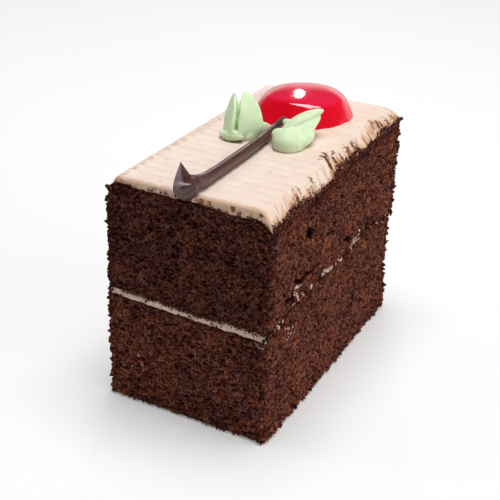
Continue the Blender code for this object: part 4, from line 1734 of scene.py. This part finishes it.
@dataclass(frozen=True)
class Blade:
    """A blade or blob of piped cream, drawn from one end to the other.

    reach is the half width where it is fullest: half way along for a fullness of 1, and nearer the start for
    less. Ends grow more pointed with taper. flatness is the thickness over the width, side the direction
    that the width lies in, bow how far the middle stands off the straight line, cup how far the margins
    curl over the width, and ruffle how far they wave.
    """

    start: Place
    end: Place
    reach: float
    fullness: float = 1.0
    taper: float = 0.7
    flatness: float = 1.0
    side: Place = (1.0, 0.0, 0.0)
    bow: Place = (0.0, 0.0, 0.0)
    cup: float = 0.0
    ruffle: float = 0.0

    def rings(self, along: int = 48, around: int = 40) -> Array:
        """The blade's skin as ovals along a bowed line.

        The half width is the reach times sin(pi share to the fullness) to the taper. An oval's thickness is
        pushed over by cup times the square of its width, and by a wave along the margins.

        Args:
            along: how many ovals.
            around: points on each.

        Returns:
            Places by oval and angle.
        """
        start, end, bow = np.array(self.start), np.array(self.end), np.array(self.bow)
        axis = (end - start) / np.linalg.norm(end - start)
        side = np.array(self.side, dtype=float)
        side -= axis * (axis @ side)
        side /= np.linalg.norm(side)
        face = np.cross(axis, side)
        share = (1 - np.cos(np.linspace(0.004, 0.996, along) * np.pi))[:, None] / 2
        angle = np.linspace(0, 2 * np.pi, around, endpoint=False)[None]
        half = self.reach * np.sin(np.pi * share**self.fullness) ** self.taper
        width = half * np.cos(angle)
        wave = self.ruffle * np.sin(11 * share + 1.3) * np.cos(angle) * np.abs(np.cos(angle))
        thick = half * self.flatness * np.sin(angle) + self.cup * half * np.cos(angle) ** 2 + wave * half
        spine = start + (end - start) * share[..., None] + bow * (4 * share * (1 - share))[..., None]
        return spine + width[..., None] * side + thick[..., None] * face


class LeafSide(Enum):
    """The leaf on each side of the stalk."""

    LEFT = "left"
    RIGHT = "right"


@dataclass
class PipedLeaf:
    """A leaf of piped cream: blades that ran together as they left the nozzle."""

    side: LeafSide
    voxel: float = 0.17

    def blades(self) -> tuple[Blade, ...]:
        """The blades of the leaf, from its root to its tips.

        Returns:
            The blades, which overlap.
        """
        if self.side is LeafSide.LEFT:
            return (
                Blade((-6.9, -5.8, 65.6), (-6.0, 6.4, 67.2), 3.3, flatness=0.7),
                Blade((-8.0, -6.6, 64.6), (-10.5, 1.2, 76.0), 2.8, 0.70, taper=0.52, flatness=0.46,
                      side=(2.0, -1.6, 0.5), bow=(0.5, -0.2, 0.0), cup=-0.38, ruffle=0.06),
                Blade((-4.2, -4.8, 64.8), (-8.1, 2.9, 76.2), 3.8, 0.76, taper=0.54, flatness=0.38,
                      side=(1.0, 1.5, -0.3), bow=(1.0, 0.5, 0.0), cup=-0.34, ruffle=0.07),
                Blade((-6.2, -3.6, 65.0), (-8.8, 1.0, 72.6), 2.3, 0.85, taper=0.6, flatness=0.4,
                      side=(1.0, 0.5, 0.0)),
                Blade((-4.0, -3.3, 66.8), (-7.9, 2.2, 75.8), 0.95, 0.8, taper=0.55, bow=(-0.9, -0.4, 0.6)),
                Blade((-2.9, 1.0, 67.8), (-6.0, 2.2, 74.2), 1.6, 0.9, taper=0.6, flatness=0.7,
                      side=(1.0, 1.5, -0.3)),
                Blade((-6.4, -6.2, 65.2), (-9.1, 1.4, 74.0), 1.5, 0.75, taper=0.6, flatness=0.5,
                      side=(2.0, 0.6, 0.0)),
                Blade((-3.6, -5.0, 65.6), (-3.0, 8.0, 66.2), 2.2, 0.8, flatness=0.95,
                      bow=(-0.5, 0.0, 0.3), ruffle=0.12),
                Blade((-12.0, -4.4, 65.9), (-3.4, -6.1, 66.5), 1.35, taper=0.62, flatness=0.85,
                      bow=(-0.2, -1.2, 0.1), ruffle=0.1),
                Blade((-8.8, -6.3, 66.9), (-4.2, -5.6, 67.0), 1.05, taper=0.62, bow=(0.0, -0.3, 0.1)),
            )
        return (
            Blade((7.6, -7.3, 66.4), (8.6, 4.6, 66.6), 4.4, 0.8, taper=0.6, flatness=0.82),
            Blade((3.0, -1.4, 68.4), (10.4, -4.0, 66.8), 2.2, 0.95, taper=0.5, flatness=0.8,
                  bow=(-0.4, -0.4, 0.2)),
            Blade((3.2, 3.9, 69.9), (9.8, 1.8, 68.6), 1.45, 0.95, taper=0.5, flatness=0.8,
                  bow=(0.2, -0.3, 0.0)),
            Blade((4.8, -0.4, 67.4), (11.5, 12.0, 71.9), 3.0, 0.80, taper=0.50, flatness=0.60,
                  side=(2.6, -2.0, 1.6), bow=(-0.5, 0.6, 0.3), ruffle=0.06),
            Blade((8.8, -3.4, 66.2), (11.2, 10.6, 70.6), 2.1, 0.80, taper=0.5, flatness=0.8,
                  side=(1.0, 0.0, -0.2), bow=(-0.3, 0.4, 0.1)),
            Blade((11.4, -5.2, 66.6), (11.4, 8.0, 69.8), 1.4, 0.75, taper=0.5,
                  bow=(-0.2, 0.3, -0.2), ruffle=0.08),
            Blade((9.6, -4.2, 66.3), (12.3, 4.6, 67.8), 2.2, taper=0.6, flatness=0.85),
        )

    def build(self, finish: Material) -> None:
        """Fuses the blades into one skin, and puts it in place of the leaf's solid.

        Args:
            finish: the leaves' material.
        """
        shell = Shell()
        for blade in self.blades():
            shell.tube(blade.rings())
        name = f"leaf_{self.side.value}_piped"
        skin = fused(shell.mesh(name), self.voxel, 5)
        place_piece(name, skin, finish, [f"leaf_{self.side.value}"])


@dataclass
class PipedStalk:
    """The chocolate line, with the drop and pulled peak that hang over the front edge."""

    line: tuple[tuple[float, float, float, float], ...] = (
        (0.1, -43.6, 2.5, 2.4),
        (0.7, -42.0, 2.3, 2.35),
        (1.2, -40.0, 1.9, 2.05),
        (1.5, -37.5, 1.6, 1.75),
        (1.6, -30.0, 1.5, 1.6),
        (1.6, -17.0, 1.5, 1.55),
        (1.4, -8.0, 1.5, 1.5),
        (1.1, -2.0, 1.6, 1.4),
        (0.9, 4.0, 1.9, 1.2),
        (1.2, 9.6, 2.9, 1.1),
    )
    drop: Blade = Blade((0.6, -43.3, 63.5), (-1.9, -43.0, 73.3), 3.25, 0.50, taper=1.15, flatness=0.8,
                        bow=(-0.3, 0.0, 0.0))
    fold: Blade = Blade((-2.9, -44.5, 68.4), (2.4, -44.0, 67.9), 1.25, taper=0.6, flatness=0.7,
                        side=(0.0, 0.3, 1.0), bow=(0.3, -0.9, -0.9))
    voxel: float = 0.2
    points: int = 260
    around: int = 40
    blur: int = 21
    sunk: float = 0.35
    flatness: float = 0.92

    def build(self, finish: Material) -> None:
        """A round line carried along its route with a wavering radius, fused with its drop, peak and fold.

        A painted highlight is strongest where the front end faces up, forward and to the left.

        Args:
            finish: the chocolate's material.
        """
        low, _ = node_box("jelly")
        route = np.array(self.line)
        knots = np.concatenate([[0], np.cumsum(np.hypot(np.diff(route[:, 0]), np.diff(route[:, 1])))])
        steps = np.linspace(0, knots[-1], self.points)
        x, y, rise, radius = (np.interp(steps, knots, column) for column in route.T)
        kernel = np.hanning(self.blur) / np.hanning(self.blur).sum()
        padded = (np.pad(column, self.blur // 2, "edge") for column in (x, rise, radius))
        x, rise, radius = (np.convolve(column, kernel, "valid") for column in padded)
        spine = np.stack([x, y, low[2] - self.sunk + rise], axis=-1)
        angle = np.linspace(0, 2 * np.pi, self.around, endpoint=False)
        ring = np.stack([np.cos(angle), 0 * angle, -np.sin(angle) * self.flatness], axis=-1)
        wobble = 1 + 0.05 * ripple(spine, 4.0, 510, 2)
        tips = np.minimum(1, np.sqrt(np.maximum(0.02, 1 - np.linspace(-1, 1, self.points) ** 60)))
        shell = Shell()
        shell.tube(spine[:, None] + ring[None] * (radius * wobble * tips)[:, None, None])
        for blade in (self.drop, self.fold):
            shell.tube(blade.rings(60, 48))
        skin = fused(shell.mesh("stalk_piped"), self.voxel, 8)
        places, normals = (np.empty(3 * len(skin.vertices), dtype=np.float32) for _ in range(2))
        skin.vertices.foreach_get("co", places)
        skin.vertex_normals.foreach_get("vector", normals)
        places, normals = places.reshape(-1, 3) / MM, normals.reshape(-1, 3)
        # Painted highlight on the drop, where it faces up, forward and to the left.
        facing = normals @ np.array([-0.70, -0.45, 0.55])
        bloom_and_highlight = eased((facing - 0.42) / 0.35) * eased((-40.5 - places[:, 1]) / 2.0)
        bloom_and_highlight *= eased((places[:, 2] - 66.5) / 2.0)
        bloom_and_highlight *= 0.9 + 0.7 * ripple(places, 1.6, 520, 2)
        skin.attributes.new("bloom_and_highlight", "FLOAT", "POINT").data.foreach_set("value", np.clip(bloom_and_highlight, 0, 1))
        place_piece("stalk_piped", skin, finish, ["stalk"])


# The studio


@dataclass
class Studio:
    """A white table top, a pale surround, soft lights with a small lamp behind, and the camera."""

    azimuth: float = 26.14
    elevation: float = 26.50
    roll: float = 2.09
    distance: float = 330.3
    aim: Place = (0.0, 0.0, 30.0)
    slide: Pair = (-3.11, 0.99)
    lens: float = 83.04
    bright_side: Place = (0.50, 0.87, 0.0)
    bright: float = 0.07
    horizon: float = 0.80
    dim: float = 0.03
    table_reach: float = 3.0
    table_glow: float = 0.185
    lit_height: float = 0.035

    def axes(self) -> tuple[Vector, Vector, Vector]:
        """The camera's own directions.

        Returns:
            Its right, up and back.
        """
        turn, tilt, roll = (math.radians(a) for a in (self.azimuth, self.elevation, self.roll))
        back = Vector((math.sin(turn) * math.cos(tilt), -math.cos(turn) * math.cos(tilt), math.sin(tilt)))
        level = Vector((math.cos(turn), math.sin(turn), 0))
        upright = back.cross(level)
        right = level * math.cos(roll) + upright * math.sin(roll)
        return right, back.cross(right), back

    def place_camera(self) -> None:
        """Makes the camera, aimed at the slice and slid a little across its view."""
        right, up, back = self.axes()
        lens = bpy.data.cameras.new("camera")
        lens.lens = self.lens
        lens.sensor_width = 36.0
        lens.clip_start = 0.01
        camera = bpy.data.objects.new("camera", lens)
        bpy.context.scene.collection.objects.link(camera)
        place = Vector(self.aim) + back * self.distance + right * self.slide[0] + up * self.slide[1]
        turned = Matrix((right, up, back)).transposed().to_4x4()
        camera.matrix_world = Matrix.Translation(place * MM) @ turned
        bpy.context.scene.camera = camera

    def place_floor(self) -> None:
        """A wide pale table top just under the slice."""
        mesh = bpy.data.meshes.new("table_top")
        reach = self.table_reach
        mesh.from_pydata([(-reach, -reach, 0), (reach, -reach, 0), (reach, reach, 0), (-reach, reach, 0)], [],
                         [(0, 1, 2, 3)])
        bench = NodeBench("white_table")
        bench.set(base_color=(0.80, 0.80, 0.80, 1.0), roughness=0.6, specular_ior_level=0.1)
        bench.set(emission_color=(1.0, 1.0, 1.0, 1.0), emission_strength=self.table_glow)
        mesh.materials.append(bench.material)
        floor = bpy.data.objects.new("table_top", mesh)
        bpy.context.scene.collection.objects.link(floor)

    def area(
        self, name: str, turn: float, height: float, distance: float, size: Pair, glow: float,
        shape: str = "RECTANGLE",
    ) -> bpy.types.Object:
        """Hangs a flat soft light that faces the slice.

        Args:
            name: the light's name.
            turn: its direction from the slice, in degrees from +X towards +Y.
            height: its height over the table, as an angle in degrees.
            distance: how far away it hangs, in metres.
            size: its width and height, in metres.
            glow: its brightness, where a white card in full light has 1.
            shape: Blender's name for its outline.

        Returns:
            The light.
        """
        lamp = bpy.data.lights.new(name, "AREA")
        lamp.shape = shape
        lamp.size, lamp.size_y = size
        lamp.energy = glow * math.pi * size[0] * size[1]
        light = bpy.data.objects.new(name, lamp)
        turned, raised = math.radians(turn), math.radians(height)
        level = math.cos(raised)
        ray = Vector((level * math.cos(turned), level * math.sin(turned), math.sin(raised)))
        light.location = Vector((0, 0, self.lit_height)) + ray * distance
        light.rotation_euler = ray.to_track_quat("Z", "Y").to_euler()
        bpy.context.scene.collection.objects.link(light)
        return light

    def place_surround(self) -> None:
        """A surround that is pale near the horizon and dim above, most of all in front and to the left."""
        world = bpy.data.worlds.new("white_surround")
        world.use_nodes = True
        tree = world.node_tree
        sky = tree.nodes.new("ShaderNodeTexCoord").outputs["Generated"]
        shares = []
        for direction, start, end in ((self.bright_side, -0.7, 0.7), ((0.0, 0.0, -1.0), -0.34, -0.16)):
            facing = tree.nodes.new("ShaderNodeVectorMath")
            facing.operation = "DOT_PRODUCT"
            facing.inputs[1].default_value = direction
            tree.links.new(sky, facing.inputs[0])
            spread = tree.nodes.new("ShaderNodeMapRange")
            spread.interpolation_type = "SMOOTHSTEP"
            spread.inputs["From Min"].default_value, spread.inputs["From Max"].default_value = start, end
            tree.links.new(facing.outputs["Value"], spread.inputs["Value"])
            shares.append(spread.outputs["Result"])
        side, low = shares
        glow = tree.nodes.new("ShaderNodeMapRange")
        tree.links.new(low, glow.inputs["Value"])
        glow.inputs["To Min"].default_value, glow.inputs["To Max"].default_value = self.bright, self.horizon
        total = tree.nodes.new("ShaderNodeMapRange")
        tree.links.new(side, total.inputs["Value"])
        tree.links.new(glow.outputs["Result"], total.inputs["To Max"])
        total.inputs["To Min"].default_value = self.dim
        shown = tree.nodes["Background"]
        shown.inputs["Color"].default_value = (1.0, 1.0, 1.0, 1.0)
        tree.links.new(total.outputs["Result"], shown.inputs["Strength"])
        bpy.context.scene.world = world

    def place_lights(self) -> None:
        """Wide lights overhead, right and left, and a small lamp behind that glints in the jelly."""
        self.place_surround()
        self.area("overhead", 70.0, 86.0, 1.0, (0.66, 0.66), 7.1)
        self.area("right", 5.0, 15.0, 1.2, (1.6, 0.7), 1.75).visible_glossy = False
        self.area("left", 186.0, 32.0, 1.2, (1.0, 0.6), 0.85).visible_glossy = False
        self.area("lamp", 114.4, 24.2, 1.2, (0.060, 0.21), 20.0, "ELLIPSE")

    def build(self) -> None:
        """Camera, floor and lights."""
        self.place_camera()
        self.place_floor()
        self.place_lights()
        bpy.context.scene.view_settings.view_transform = "Standard"


def main() -> None:
    """Builds the camera, the layers from the base up, and then the toppings."""
    logging.basicConfig(level=logging.INFO, format="%(name)s: %(message)s")
    Studio().build()
    form = SliceForm.from_frame()
    crumb = CrumbFinish().material()
    for layer in Layer:
        SpongeLayer(form, layer).build(crumb)
    ClingingCrumbs(form).build(crumb)
    filling = FillingFinish().material()
    FillingSpread(form).build(filling)
    frosting = FrostingFinish().material()
    CreamFlecks(form).build(frosting)
    CombedFrosting(form).build(frosting)
    JellyDome().build(JellyFinish().material())
    leaf = LeafFinish().material()
    for side in LeafSide:
        PipedLeaf(side).build(leaf)
    PipedStalk().build(ChocolateFinish().material())


if __name__ == "__main__":
    main()
